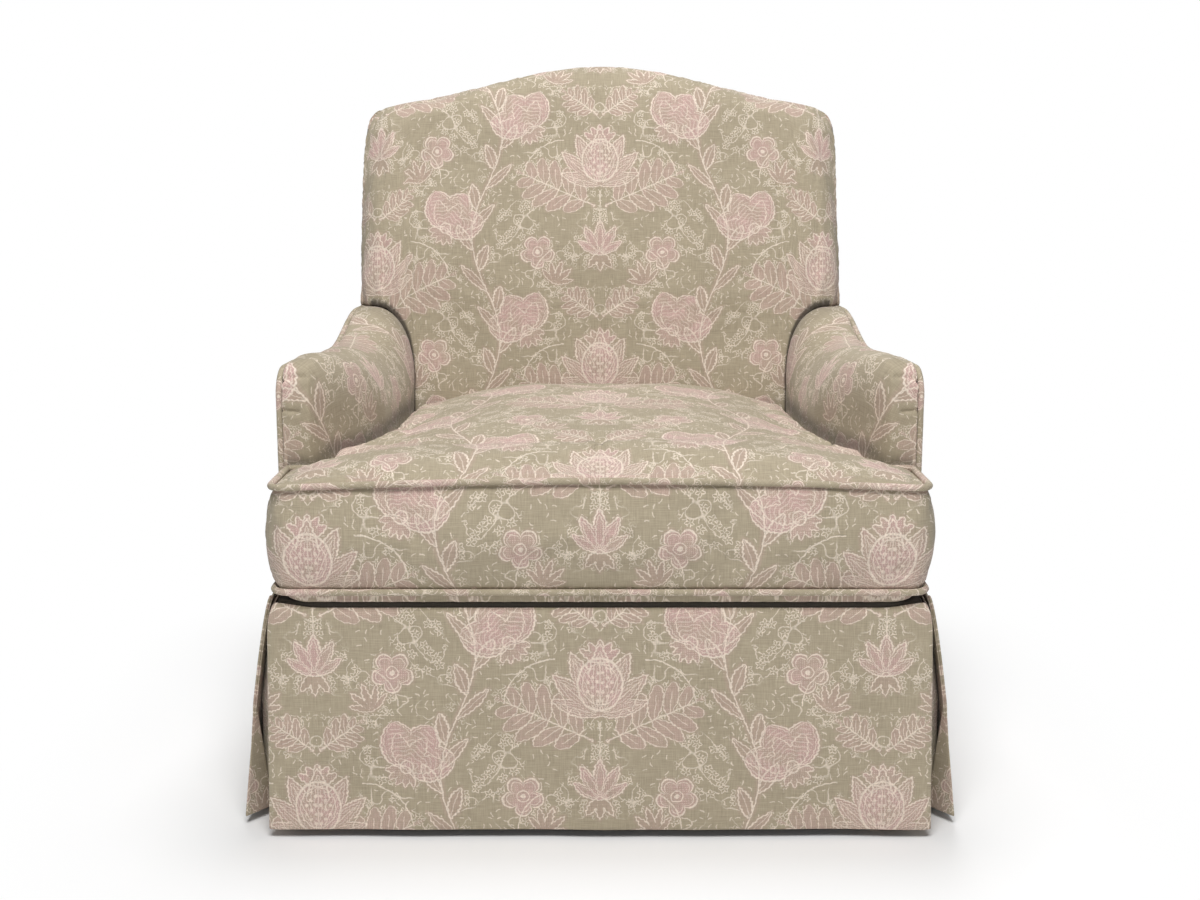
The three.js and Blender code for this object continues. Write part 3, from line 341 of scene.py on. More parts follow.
def nearest_on(path, places, block=4000):
    """For each place, how far it is from a path of points and how far along the path its nearest point lies."""
    along = run(path[None], 1)[0]
    far, where = [], []
    for start in range(0, len(places), block):
        gap = np.linalg.norm(places[start:start + block, None] - path[None], axis=-1)
        near = gap.argmin(axis=1)
        far.append(gap[np.arange(len(near)), near])
        where.append(along[near])
    return np.concatenate(far), np.concatenate(where)


def ripple(length, pitch, seed):
    """An uneven ripple from -1 to 1: four sines whose pitches share no common length."""
    phase = np.random.default_rng(seed).uniform(0, 2 * math.pi, 4)
    parts = [np.sin(2 * math.pi * length / (pitch * k) + p) for k, p in zip((1, 1.37, 0.71, 2.3), phase)]
    return sum(parts) / 2.6


def pucker(piece, path, depth, reach, pitch, seed, groove=0.0014, width=0.0065):
    """Gathers beside a seam: each point moves along its normal by a ripple along the seam, which fades away from
    it, and the cloth dips into a groove right beside the stitches."""
    places = places_of(piece)
    far, along = nearest_on(path, places)
    fade = np.exp(-far / reach)
    amount = depth * fade * ripple(along, pitch, seed) - groove * np.exp(-(far / width) ** 2)
    set_places(piece, places + normals_of(piece) * amount[:, None])


def rumple(piece, depth, size, seed, mask=None):
    """Soft unevenness of stuffed cloth: waves in five directions across the piece, added up."""
    rng = np.random.default_rng(seed)
    places = places_of(piece)
    total = np.zeros(len(places))
    for _ in range(5):
        way = rng.normal(size=3)
        way /= np.linalg.norm(way)
        total += np.sin(places @ way * 2 * math.pi / (size * rng.uniform(0.6, 1.6)) + rng.uniform(0, 6.28))
    amount = depth * total / 3
    if mask is not None:
        amount = amount * mask(places)
    set_places(piece, places + normals_of(piece) * amount[:, None])


def directions(path, closed):
    """The way that a path of points runs at each point, one unit long. A closed path ends on its first point."""
    ahead = np.gradient(path, axis=0)
    if closed:
        ahead[0] = ahead[-1] = path[1] - path[-2]
    return ahead / np.linalg.norm(ahead, axis=1, keepdims=True)


def welt_cord(name, path, normal, material, body, nodes, closed=False, start=0.0):
    """A covered cord: rings of the welt's radius, square to the path, on a path that bends square to `normal`."""
    sides = 14
    if closed:
        path = np.concatenate([path, path[:1]])
    ahead = directions(path, closed)
    across = np.cross(ahead, normal)
    across /= np.linalg.norm(across, axis=1, keepdims=True)
    up = np.cross(across, ahead)
    turn = np.linspace(0, 2 * math.pi, sides + 1)
    length = run(path[None], 1)[0]
    radius = WELT_RADIUS * (1 + 0.03 * np.sin(length * 260) * np.sin(length * 91))
    if closed:
        radius[-1] = radius[0]
    ring = (up[:, None] * np.cos(turn)[None, :, None] + across[:, None] * np.sin(turn)[None, :, None])
    tube = path[:, None] + ring * radius[:, None, None]
    slant = np.stack(np.broadcast_arrays(length[:, None] + start + turn * WELT_RADIUS,
                                         length[:, None] - turn * WELT_RADIUS), axis=-1)
    grids = [(tube, slant)]
    if not closed:
        for end, inward in ((0, 1), (-1, -1)):
            share = np.array([1.0, 0.7, 0.0])[:, None, None]
            cap = path[end] + (tube[end][None] - path[end]) * share
            cap = cap - inward * ahead[end] * WELT_RADIUS * 0.5 * np.array([0, 0.6, 1])[:, None, None]
            grids.append((cap, np.broadcast_to(slant[end], (3,) + slant[end].shape)))
    finish_cloth(make_piece(name, grids, material), body, nodes)


def finish_cloth(piece, body, nodes):
    """Attaches the piece to the body that it rides on and hides the CAD nodes that it stands for."""
    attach(piece, body)
    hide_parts(*nodes)


def settle(piece, hold, cap, frames, pressure):
    """Lets the cover settle round its stuffing: a cloth simulation under inner pressure, held where `hold` is
    1. No point moves further than the cap, by a hyperbolic tangent."""
    before = places_of(piece)
    group = piece.vertex_groups.new(name="held")
    for index in np.flatnonzero(hold > 0.01).tolist():
        group.add([index], float(hold[index]), "REPLACE")
    cloth = piece.modifiers.new("Settle", "CLOTH")
    setting = cloth.settings
    setting.quality = 3
    setting.mass = 0.25
    setting.tension_stiffness = 12
    setting.compression_stiffness = 12
    setting.shear_stiffness = 6
    setting.bending_stiffness = 0.4
    setting.use_pressure = True
    setting.uniform_pressure_force = pressure
    setting.shrink_min = -LOOSENESS
    setting.shrink_max = -LOOSENESS
    setting.vertex_group_mass = "held"
    setting.effector_weights.gravity = 0
    cloth.point_cache.frame_start = 1
    cloth.point_cache.frame_end = frames
    scene = bpy.context.scene
    for number in range(1, frames + 1):
        scene.frame_set(number)
    shape = piece.evaluated_get(bpy.context.evaluated_depsgraph_get()).to_mesh()
    after = np.empty(len(before) * 3)
    shape.vertices.foreach_get("co", after)
    piece.to_mesh_clear()
    piece.modifiers.remove(cloth)
    piece.vertex_groups.remove(group)
    scene.frame_set(1)
    move = np.nan_to_num(after.reshape(-1, 3) - before)
    length = np.linalg.norm(move, axis=1, keepdims=True)
    move *= cap * np.tanh(length / cap) / np.maximum(length, 1e-9)
    set_places(piece, before + move)


# Shader work


class Field:
    """A number that varies over a surface, worked out by Math nodes."""

    def __init__(self, tree, source):
        self.tree = tree
        self.source = source

    def join(self, operation, *others):
        node = self.tree.nodes.new("ShaderNodeMath")
        node.operation = operation
        for socket, value in zip(node.inputs, (self, *others)):
            if isinstance(value, Field):
                self.tree.links.new(value.source, socket)
            else:
                socket.default_value = value
        return Field(self.tree, node.outputs[0])

    def __add__(self, other):
        return self.join("ADD", other)

    def __sub__(self, other):
        return self.join("SUBTRACT", other)

    def __mul__(self, other):
        return self.join("MULTIPLY", other)

    def __truediv__(self, other):
        return self.join("DIVIDE", other)

    def __pow__(self, other):
        return self.join("POWER", other)

    def __neg__(self):
        return self.join("MULTIPLY", -1.0)

    def __abs__(self):
        return self.join("ABSOLUTE")

    def low(self, other):
        return self.join("MINIMUM", other)

    def high(self, other):
        return self.join("MAXIMUM", other)

    def sin(self):
        return self.join("SINE")

    def cos(self):
        return self.join("COSINE")

    def root(self):
        return self.join("SQRT")

    def rounded(self):
        return self.join("ROUND")

    def bearing(self, other):
        return self.join("ARCTAN2", other)

    def wrap(self, low, high):
        return self.join("WRAP", high, low)

    def fold(self, width):
        return self.join("PINGPONG", width)

    def over(self, level):
        return self.join("GREATER_THAN", level)

    def clip(self, low, high):
        return self.high(low).low(high)

    def step(self, start, end):
        """An easy step from 0 at the start to 1 at the end; falling if the start is above the end."""
        node = self.tree.nodes.new("ShaderNodeMapRange")
        node.interpolation_type = "SMOOTHSTEP"
        rising = end > start
        node.inputs["From Min"].default_value = start if rising else end
        node.inputs["From Max"].default_value = end if rising else start
        node.inputs["To Min"].default_value = 0.0 if rising else 1.0
        node.inputs["To Max"].default_value = 1.0 if rising else 0.0
        self.tree.links.new(self.source, node.inputs["Value"])
        return Field(self.tree, node.outputs["Result"])


def new_group(name, inputs, outputs):
    """An empty shader node group: its tree, its input node and its output node."""
    tree = bpy.data.node_groups.new(name, "ShaderNodeTree")
    for label, kind, default in inputs:
        socket = tree.interface.new_socket(label, in_out="INPUT", socket_type=kind)
        if default is not None:
            socket.default_value = default
    for label, kind in outputs:
        tree.interface.new_socket(label, in_out="OUTPUT", socket_type=kind)
    entry = tree.nodes.new("NodeGroupInput")
    return tree, entry, tree.nodes.new("NodeGroupOutput")


def noise(tree, vector, scale, detail=2.0, rough=0.5, stretch=None):
    """A noise texture node over a vector, which may be stretched first."""
    if stretch is not None:
        scaler = tree.nodes.new("ShaderNodeVectorMath")
        scaler.operation = "MULTIPLY"
        scaler.inputs[1].default_value = stretch
        tree.links.new(vector, scaler.inputs[0])
        vector = scaler.outputs[0]
    node = tree.nodes.new("ShaderNodeTexNoise")
    node.inputs["Scale"].default_value = scale
    node.inputs["Detail"].default_value = detail
    node.inputs["Roughness"].default_value = rough
    tree.links.new(vector, node.inputs["Vector"])
    return node


def noise_field(tree, *settings):
    return Field(tree, noise(tree, *settings).outputs["Fac"])


def lay_out(tree):
    """Sets the nodes in columns, from left to right in the order in which they feed each other."""
    depth = {node: 0 for node in tree.nodes}
    for _ in range(len(tree.nodes)):
        moved = False
        for link in tree.links:
            if depth[link.to_node] < depth[link.from_node] + 1:
                depth[link.to_node] = depth[link.from_node] + 1
                moved = True
        if not moved:
            break
    rows = {}
    for node in tree.nodes:
        column = depth[node]
        rows[column] = rows.get(column, 0) + 1
        node.location = (column * 190, -rows[column] * 150)


def turned(x, y, angle):
    """Coordinates in a frame turned clockwise by an angle, so that its up points that way."""
    c, s = math.cos(angle), math.sin(angle)
    return x * c - y * s, x * s + y * c


def radius_of(x, y):
    return (x * x + y * y).root()


def combined(operation, fields):
    """One field from several, joined one after the other."""
    total = fields[0]
    for field in fields[1:]:
        total = total.join(operation, field)
    return total


def petal(across, along, length, width, power=0.75):
    """A pointed petal: how far a point lies outside its edge, whose half width is a sine of the way along it,
    with small teeth on the larger petals."""
    share = (along / length).clip(0.0, 1.0)
    teeth = (along * 1100.0).sin() * 0.0005 if width > 0.003 else 0.0
    edge = (share * math.pi).sin().high(0.0) ** power * width + teeth
    beyond = (abs(along / length - 0.5) - 0.5).high(0.0) * length
    return abs(across) - edge + beyond


def fan(x, y, angle, sides, pitch, length, width, power=0.75, shrink=0.0):
    """Petals spread round a point: the same petal turned by a pitch, `sides` times to each side."""
    radius = radius_of(x, y)
    bearing = (x.bearing(y) - angle).wrap(-math.pi, math.pi)
    number = (bearing / pitch).rounded().clip(-float(sides), float(sides))
    own = bearing - number * pitch
    grown = radius / (number * number * -shrink + 1.0) if shrink else radius
    return petal(grown * own.sin(), grown * own.cos(), length, width, power), own, number


def line(distance, width, soft=0.0005):
    """A drawn line: 1 where the distance from its middle is under half its width."""
    return abs(distance).step(width / 2 + soft, width / 2 - soft)


class Drawing:
    """A print in the making: its drawn lines, its fills and the shapes that keep the ground's small marks off."""

    def __init__(self, x, v, wide, tall):
        self.x = x
        self.v = v
        self.wide = wide
        self.tall = tall
        self.lines, self.fills, self.shapes = [], [], []

    def up_from(self, level):
        """How far a point lies over a level of the repeat, from minus to plus half a repeat."""
        return (self.v - level).wrap(self.tall * -0.5, self.tall * 0.5)

    def add(self, shape, fill, width, *echoes):
        """Draws a shape's edge and fills it. An echo repeats the edge further in: its depth, width and weight."""
        self.lines.append(line(shape, width))
        self.lines.extend(line(shape + deep, thin) * weight for deep, thin, weight in echoes)
        self.shapes.append(shape)
        if fill:
            self.fills.append(shape.step(0.0006, -0.0006) * fill)


def draw_seed_head(drawing):
    """On the axis: a seed head with a crown, in a ring of long petals."""
    x, h = drawing.x, drawing.up_from(0.150)
    petals, own, _ = fan(x, h, 0.0, 3, 0.42, 0.086, 0.0130, 0.8, shrink=0.035)
    drawing.add(petals, 0.55, 0.0021, (0.0046, 0.0010, 1.0), (0.0086, 0.0009, 0.7))
    drawing.lines.append(line(own * radius_of(x, h), 0.0010) * (petals + 0.006).step(0.0, -0.001))
    h = drawing.up_from(0.188)
    head = (x * x * 1.25 + h * h * 0.85).root() - 0.0290
    seeds = ((x * 560.0).sin() * (h * 560.0).sin()).step(0.30, 0.6)
    drawing.add(head, 1.0, 0.0026, (0.0062, 0.0012, 1.0))
    drawing.lines.append(seeds * (head + 0.0085).step(0.0005, -0.0005) * 0.9)
    crown, _, _ = fan(x, drawing.up_from(0.215), 0.0, 2, 0.5, 0.027, 0.0050)
    drawing.add(crown, 0.9, 0.0018)


def draw_bud(drawing):
    """On the axis, lower: a bud of upright petals over a pair of small leaves."""
    x = drawing.x
    bud, _, _ = fan(x, drawing.up_from(0.048), 0.0, 2, 0.50, 0.050, 0.0080, 0.8, shrink=0.06)
    drawing.add(bud, 0.95, 0.0021, (0.0036, 0.0010, 1.0))
    foot, _, _ = fan(x, drawing.up_from(0.052), math.pi, 1, 0.62, 0.028, 0.0048)
    drawing.add(foot, 0.0, 0.0016)
    drawing.lines.append(line(x, 0.0015) * abs(drawing.up_from(0.118)).step(0.026, 0.023))


def draw_plume(drawing, base, angle, length, lobe_length, pitch, bend, shade):
    """A plume that leans out from the axis: round lobes along both sides of a rib, shorter towards its ends."""
    across, along = turned(drawing.x - base[0], drawing.up_from(base[1]), angle)
    along = along + across * across * bend
    side = abs(across)
    slanted = along - side * 0.62
    local = slanted.wrap(pitch * -0.5, pitch * 0.5)
    share = ((slanted - local) / length).clip(0.0, 1.0)
    reach = (share * math.pi).sin().high(0.0) ** 0.6 * lobe_length + 0.0015
    lobe = petal(local, side, reach, pitch * 0.50, 0.55).high(-along).high(along - length - 0.012)
    drawing.add(lobe, shade, 0.0015)
    drawing.lines.append(line(local, 0.0009) * (side - reach * 0.7).step(0.0005, -0.0005)
                         * (lobe + 0.0012).step(0.0004, -0.0004))
    drawing.lines.append(line(across, 0.0016) * along.step(-0.001, 0.001) * (along - length).step(0.001, -0.001))


def draw_broad_flower(drawing):
    """Beside the axis: lapped petals with rippled veins, an eyed heart and a fringe below."""
    x, y = turned(drawing.x - 0.104, drawing.up_from(0.236), 0.55)
    outer_row, _, _ = fan(x, y, 0.0, 1, 0.80, 0.060, 0.0225, 0.55, shrink=0.03)
    inner_row, _, _ = fan(x, y, 0.0, 1, 0.80, 0.044, 0.0105, 0.7)
    drawing.add(outer_row, 0.95, 0.0023, (0.0040, 0.0010, 0.9))
    drawing.lines.append(line(inner_row, 0.0014))
    veins = (radius_of(x, y) * 1150.0 + (x.bearing(y) * 7.0).sin() * 2.0).sin()
    drawing.lines.append(veins.step(0.45, 0.9) * 0.55 * (outer_row + 0.0070).step(0.0, -0.002))
    fringe, _, _ = fan(x, y - 0.002, math.pi, 2, 0.44, 0.025, 0.0046, 0.6)
    drawing.add(fringe, 0.5, 0.0016)
    drawing.add(radius_of(x, y - 0.002) - 0.0075, 0.2, 0.0016)


def draw_rosette(drawing):
    """Lower down: five heart-shaped petals round an eye, over a sprig of slim leaves."""
    x, y = drawing.x - 0.090, drawing.up_from(0.052)
    ring = radius_of(x, y)
    rosette = ring - abs((x.bearing(y) * 2.5).sin()) ** 0.6 * 0.0105 - 0.0140
    drawing.add(rosette, 0.75, 0.0021, (0.0045, 0.0010, 1.0))
    drawing.lines.append(line(ring - 0.0070, 0.0013))
    drawing.lines.append(ring.step(0.0036, 0.0026))
    x, y = turned(drawing.x - 0.066, drawing.up_from(0.006), -0.35)
    leaves, _, _ = fan(x, y, 0.0, 2, 0.52, 0.034, 0.0042, 0.7, shrink=0.05)
    drawing.add(leaves, 0.20, 0.0015)


def draw_stems(drawing, y):
    """The winding stem between the axes, with almond leaves that take turns on its two sides, and curled stalks
    from the axis to the flowers."""
    bend = drawing.x - drawing.wide * 0.5 - (y / drawing.tall * (2 * math.pi)).sin() * 0.021
    drawing.lines.append(line(bend, 0.0016))
    drawing.shapes.append(abs(bend) - 0.001)
    for side in (-1.0, 1.0):
        rise = (y + 0.015 * side).wrap(0.0, 0.060) - 0.010
        across, along = turned(bend * side, rise, 0.55)
        blade = petal(across, along, 0.044, 0.0068, 0.8)
        drawing.add(blade, 0.16, 0.0019)
        drawing.lines.append(line(across, 0.0009) * (blade + 0.0014).step(0.0004, -0.0004) * 0.8)
    for x, level, radius, low, high in ((0.052, 0.158, 0.060, 0.165, 0.232), (0.046, 0.010, 0.050, 0.012, 0.055)):
        beside = drawing.x - x
        span = (high - low) / 2
        within = abs(drawing.up_from((low + high) / 2)).step(span + 0.001, span - 0.001)
        drawing.lines.append(line(radius_of(beside, drawing.up_from(level)) - radius, 0.0015) * within
                             * beside.over(0.0))


def scattered(tree, place, scale, shift):
    """Cells strewn over the ground: the offset from each cell's middle and two numbers of its own."""
    moved = tree.nodes.new("ShaderNodeVectorMath")
    moved.inputs[1].default_value = (shift, shift * 0.7, 0.0)
    tree.links.new(place, moved.inputs[0])
    cells = tree.nodes.new("ShaderNodeTexVoronoi")
    cells.voronoi_dimensions = "2D"
    cells.inputs["Scale"].default_value = scale
    cells.inputs["Randomness"].default_value = 0.85
    tree.links.new(moved.outputs[0], cells.inputs["Vector"])
    offset = tree.nodes.new("ShaderNodeVectorMath")
    offset.operation = "SUBTRACT"
    tree.links.new(moved.outputs[0], offset.inputs[0])
    tree.links.new(cells.outputs["Position"], offset.inputs[1])
    parts = tree.nodes.new("ShaderNodeSeparateXYZ")
    tree.links.new(offset.outputs[0], parts.inputs[0])
    shade = tree.nodes.new("ShaderNodeSeparateColor")
    tree.links.new(cells.outputs["Color"], shade.inputs[0])
    return (Field(tree, parts.outputs["X"]), Field(tree, parts.outputs["Y"]),
            Field(tree, shade.outputs["Red"]), Field(tree, shade.outputs["Green"]))


def draw_ground(drawing, tree, y, free):
    """What fills the ground between the flowers, where it is free: small turned florets and curling tendrils in
    patches, and short strokes."""
    joined = tree.nodes.new("ShaderNodeCombineXYZ")
    tree.links.new(drawing.x.source, joined.inputs["X"])
    tree.links.new(y.source, joined.inputs["Y"])
    place = joined.outputs[0]
    sprig = noise_field(tree, place, 17.0, 1.0, 0.5).step(0.42, 0.50)
    across, along, pick, spin = scattered(tree, place, 74.0, 0.0)
    radius = radius_of(across, along)
    bearing = (across.bearing(along) + spin * 6.28).wrap(-0.62, 0.62)
    floret = petal(radius * bearing.sin(), radius * bearing.cos(), 0.0062, 0.0017, 0.8)
    drawing.lines.append(line(floret, 0.0010, 0.0003) * free * pick.over(0.40) * sprig * 0.95)
    across, along, pick, spin = scattered(tree, place, 118.0, 0.31)
    tilt = spin * 6.28
    beside = across * tilt.cos() - along * tilt.sin()
    ahead = across * tilt.sin() + along * tilt.cos()
    stroke = line(beside + ahead * ahead * 60.0, 0.0012, 0.0004) * abs(ahead).step(0.0034, 0.0024)
    drawing.lines.append(stroke * free * pick.over(0.66) * 0.85)
    curls = noise_field(tree, place, 40.0, 0.0, 0.4)
    drawing.lines.append(line(curls - 0.5, 0.026, 0.012) * free * sprig * 0.85)


def print_group():
    """The printed pattern. The cloth folds about upright axes, each half a repeat from the next and dropped by
    half a repeat, and flowers, leaves and a winding stem are drawn on it as outlines and fills."""
    tree, entry, leave = new_group(
        "flower_print",
        [("Cloth", "NodeSocketVector", None), ("Repeat Width", "NodeSocketFloat", 0.33),
         ("Repeat Height", "NodeSocketFloat", 0.30)],
        [("Fill", "NodeSocketFloat"), ("Outline", "NodeSocketFloat"), ("Ink", "NodeSocketFloat")])
    cloth = entry.outputs["Cloth"]
    wobble = 0.004
    shift = tree.nodes.new("ShaderNodeVectorMath")
    shift.operation = "MULTIPLY_ADD"
    shift.inputs[1].default_value = (wobble, wobble, 0.0)
    tree.links.new(noise(tree, cloth, 150.0, 2.0).outputs["Color"], shift.inputs[0])
    tree.links.new(cloth, shift.inputs[2])
    split = tree.nodes.new("ShaderNodeSeparateXYZ")
    tree.links.new(shift.outputs[0], split.inputs[0])
    wide = Field(tree, entry.outputs["Repeat Width"])
    tall = Field(tree, entry.outputs["Repeat Height"])
    u = Field(tree, split.outputs["X"]) - wobble / 2
    v = Field(tree, split.outputs["Y"]) - wobble / 2
    x = u.fold(wide * 0.5)
    v = v + u.fold(wide).over(wide * 0.5) * tall * 0.5
    y = v.wrap(0.0, tall)

    drawing = Drawing(x, v, wide, tall)
    draw_seed_head(drawing)
    draw_bud(drawing)
    draw_plume(drawing, (0.008, 0.120), 1.14, 0.112, 0.036, 0.0200, 2.2, 0.34)
    draw_plume(drawing, (0.004, 0.258), 0.95, 0.052, 0.020, 0.0120, 0.0, 0.28)
    draw_broad_flower(drawing)
    draw_rosette(drawing)
    draw_stems(drawing, y)
    covered = combined("MINIMUM", drawing.shapes)
    draw_ground(drawing, tree, y, covered.step(0.0020, 0.0034))

    # The hand-blocked look: colour that is thin in places, outlines that break up and stippled fills
    fill = combined("MAXIMUM", drawing.fills)
    drawn = combined("MAXIMUM", drawing.lines)
    worn = noise_field(tree, cloth, 420.0, 2.0, 0.6).step(0.28, 0.52)
    faded = noise_field(tree, cloth, 34.0, 2.0, 0.6).step(0.36, 0.60)
    tree.links.new((fill * (faded * 0.72 + 0.28) * (worn * 0.55 + 0.45)).source, leave.inputs["Fill"])
    near = covered.step(0.006, 0.0) * (worn * 0.5 + 0.5)
    tree.links.new(near.source, leave.inputs["Ink"])
    stipple = ((x + y) * 1450.0).sin() * ((x - y) * 1450.0).sin()
    drawn = drawn.high(stipple.step(0.35, 0.75) * fill.step(0.2, 0.5) * 0.55)
    tree.links.new((drawn * (worn * 0.55 + 0.45)).source, leave.inputs["Outline"])
    lay_out(tree)


def weave_group():
    """A plain linen weave: threads both ways whose thickness varies, with slubs. It puts out a shade and a
    height, both from 0 to 1."""
    tree, entry, leave = new_group(
        "linen_weave",
        [("Cloth", "NodeSocketVector", None), ("Thread", "NodeSocketFloat", 0.0007)],
        [("Shade", "NodeSocketFloat"), ("Height", "NodeSocketFloat")])
    split = tree.nodes.new("ShaderNodeSeparateXYZ")
    tree.links.new(entry.outputs["Cloth"], split.inputs[0])
    pitch = Field(tree, entry.outputs["Thread"])
    u = Field(tree, split.outputs["X"])
    v = Field(tree, split.outputs["Y"])
    warp_slub = noise_field(tree, entry.outputs["Cloth"], 1.0, 2.0, 0.6, (900.0, 45.0, 1.0))
    weft_slub = noise_field(tree, entry.outputs["Cloth"], 1.0, 2.0, 0.6, (45.0, 900.0, 1.0))
    warp = (u / pitch * math.pi).sin()
    weft = (v / pitch * math.pi).sin()
    over = (warp * weft) * 0.25 + 0.5
    slub = warp_slub.high(weft_slub)
    broad = noise_field(tree, entry.outputs["Cloth"], 9.0, 2.0, 0.5)
    shade = (warp_slub + weft_slub - 1.0) * 1.1 + (broad - 0.5) * 0.35 + 0.5
    height = over * 0.6 + slub * 0.8
    tree.links.new(shade.clip(0.0, 1.0).source, leave.inputs["Shade"])
    tree.links.new(height.source, leave.inputs["Height"])
    lay_out(tree)


def place_group(tree, name, values):
    """A node of a shared group, laid over the cloth, with its values set."""
    node = tree.nodes.new("ShaderNodeGroup")
    node.node_tree = bpy.data.node_groups[name]
    for label, value in values.items():
        node.inputs[label].default_value = value
    tree.links.new(cloth_coordinates(tree), node.inputs["Cloth"])
    return node


def blend_colours(tree, share, first, second, way="MIX"):
    """A Mix node between two colours, each a socket or a plain colour."""
    node = tree.nodes.new("ShaderNodeMix")
    node.data_type = "RGBA"
    node.blend_type = way
    for index, value in ((0, share), (6, first), (7, second)):
        if isinstance(value, Field):
            tree.links.new(value.source, node.inputs[index])
        elif isinstance(value, bpy.types.NodeSocket):
            tree.links.new(value, node.inputs[index])
        elif index == 0:
            node.inputs[index].default_value = value
        else:
            node.inputs[index].default_value = (*value, 1.0)
    return node.outputs[2]


def blank_material(name):
    """A material with a Principled shader alone: itself, its tree and the shader."""
    material = bpy.data.materials.new(name)
    material.use_nodes = True
    tree = material.node_tree
    tree.nodes.clear()
    shader = tree.nodes.new("ShaderNodeBsdfPrincipled")
    result = tree.nodes.new("ShaderNodeOutputMaterial")
    tree.links.new(shader.outputs[0], result.inputs["Surface"])
    return material, tree, shader


def cloth_coordinates(tree):
    node = tree.nodes.new("ShaderNodeUVMap")
    node.uv_map = "cloth"
    return node.outputs["UV"]


def bump(tree, height, strength, distance):
    """Normals bent by a height field."""
    node = tree.nodes.new("ShaderNodeBump")
    node.inputs["Strength"].default_value = strength
    node.inputs["Distance"].default_value = distance
    tree.links.new(height.source, node.inputs["Height"])
    return node.outputs["Normal"]


def printed_linen(settings):
    """Printed linen: the ground, the fills and the outlines, each tinted by the weave's threads, then darkened
    towards a near black by painted shade where the mesh's attribute marks a crease.
    """
    material, tree, shader = blank_material("printed_linen")
    flowers = place_group(tree, "flower_print", {"Repeat Width": settings.repeat_width,
                                                 "Repeat Height": settings.repeat_height})
    weave = place_group(tree, "linen_weave", {"Thread": settings.thread})
    shade = Field(tree, weave.outputs["Shade"])
    fill = Field(tree, flowers.outputs["Fill"])
    outline = Field(tree, flowers.outputs["Outline"])
    near = Field(tree, flowers.outputs["Ink"])
    blush = blend_colours(tree, near * 0.30, settings.ground, settings.fill)
    inked = blend_colours(tree, fill * 0.92, blush, settings.fill)
    drawn = blend_colours(tree, outline * 0.84, inked, settings.outline)
    dark = blend_colours(tree, 1.0, drawn, (0.70, 0.69, 0.67), "MULTIPLY")
    light = blend_colours(tree, 1.0, drawn, (1.20, 1.19, 1.18), "MULTIPLY")
    woven = blend_colours(tree, shade, dark, light)
    # Painted shade: the attribute marks the creases where a contact shadow falls, and the colour darkens towards a
    # near black there.
    fold = tree.nodes.new("ShaderNodeAttribute")
    fold.attribute_name = "painted_crease_shade"
    shaded_in_creases = blend_colours(tree, Field(tree, fold.outputs["Fac"]), woven, CREASE_SHADE_COLOUR)
    tree.links.new(shaded_in_creases, shader.inputs["Base Color"])
    tree.links.new((shade * -0.12 + 0.95).source, shader.inputs["Roughness"])
    shader.inputs["Specular IOR Level"].default_value = 0.22
    shader.inputs["Sheen Weight"].default_value = 0.12
    shader.inputs["Sheen Roughness"].default_value = 0.6
    tree.links.new(bump(tree, Field(tree, weave.outputs["Height"]), 0.45, 0.0006), shader.inputs["Normal"])
    lay_out(tree)
    return material


def plain_cloth(name, colour, thread, contrast=0.25):
    """Unprinted woven cloth."""
    material, tree, shader = blank_material(name)
    weave = place_group(tree, "linen_weave", {"Thread": thread})
    shade = Field(tree, weave.outputs["Shade"])
    dark = tuple(c * (1 - contrast) for c in colour)
    light = tuple(min(1.0, c * (1 + contrast)) for c in colour)
    tree.links.new(blend_colours(tree, shade, dark, light), shader.inputs["Base Color"])
    tree.links.new((shade * -0.1 + 0.96).source, shader.inputs["Roughness"])
    shader.inputs["Specular IOR Level"].default_value = 0.2
    shader.inputs["Sheen Weight"].default_value = 0.05
    tree.links.new(bump(tree, Field(tree, weave.outputs["Height"]), 0.5, 0.0008), shader.inputs["Normal"])
    lay_out(tree)
    return material


def object_coordinates(tree):
    return tree.nodes.new("ShaderNodeTexCoord").outputs["Object"]


def beech(settings):
    """Planed beech: growth rings seen as long bands, short flecks and a soft saw-mark bump."""
    material, tree, shader = blank_material("planed_beech")
    place = object_coordinates(tree)
    grain = noise_field(tree, place, 1.0, 4.0, 0.6, (9.0, 60.0, 60.0))
    fleck = noise_field(tree, place, 1.0, 2.0, 0.5, (120.0, 900.0, 900.0)).step(0.58, 0.75)
    deep = tuple(c * 0.62 for c in settings.wood)
    tone = blend_colours(tree, grain.step(0.3, 0.7), deep, tuple(settings.wood))
    tree.links.new(blend_colours(tree, fleck * 0.5, tone, tuple(c * 0.45 for c in settings.wood)),
                   shader.inputs["Base Color"])
    tree.links.new((grain * 0.2 + 0.5).source, shader.inputs["Roughness"])
    tree.links.new(bump(tree, grain + fleck * 0.4, 0.25, 0.0008), shader.inputs["Normal"])
    lay_out(tree)
    return material


def drawn_wire():
    """Drawn spring wire: bare steel with a thin, uneven film of oil and small spots of rust."""
    material, tree, shader = blank_material("spring_wire")
    place = object_coordinates(tree)
    film = noise_field(tree, place, 70.0, 3.0, 0.6)
    rust = noise_field(tree, place, 180.0, 3.0, 0.7).step(0.62, 0.74)
    steel = blend_colours(tree, film, (0.20, 0.20, 0.21), (0.46, 0.46, 0.47))
    tree.links.new(blend_colours(tree, rust * 0.6, steel, (0.16, 0.07, 0.03)), shader.inputs["Base Color"])
    tree.links.new((rust * -0.8 + 1.0).source, shader.inputs["Metallic"])
    tree.links.new((film * 0.25 + rust * 0.35 + 0.22).source, shader.inputs["Roughness"])
    tree.links.new(bump(tree, film + rust, 0.15, 0.0003), shader.inputs["Normal"])
    lay_out(tree)
    return material


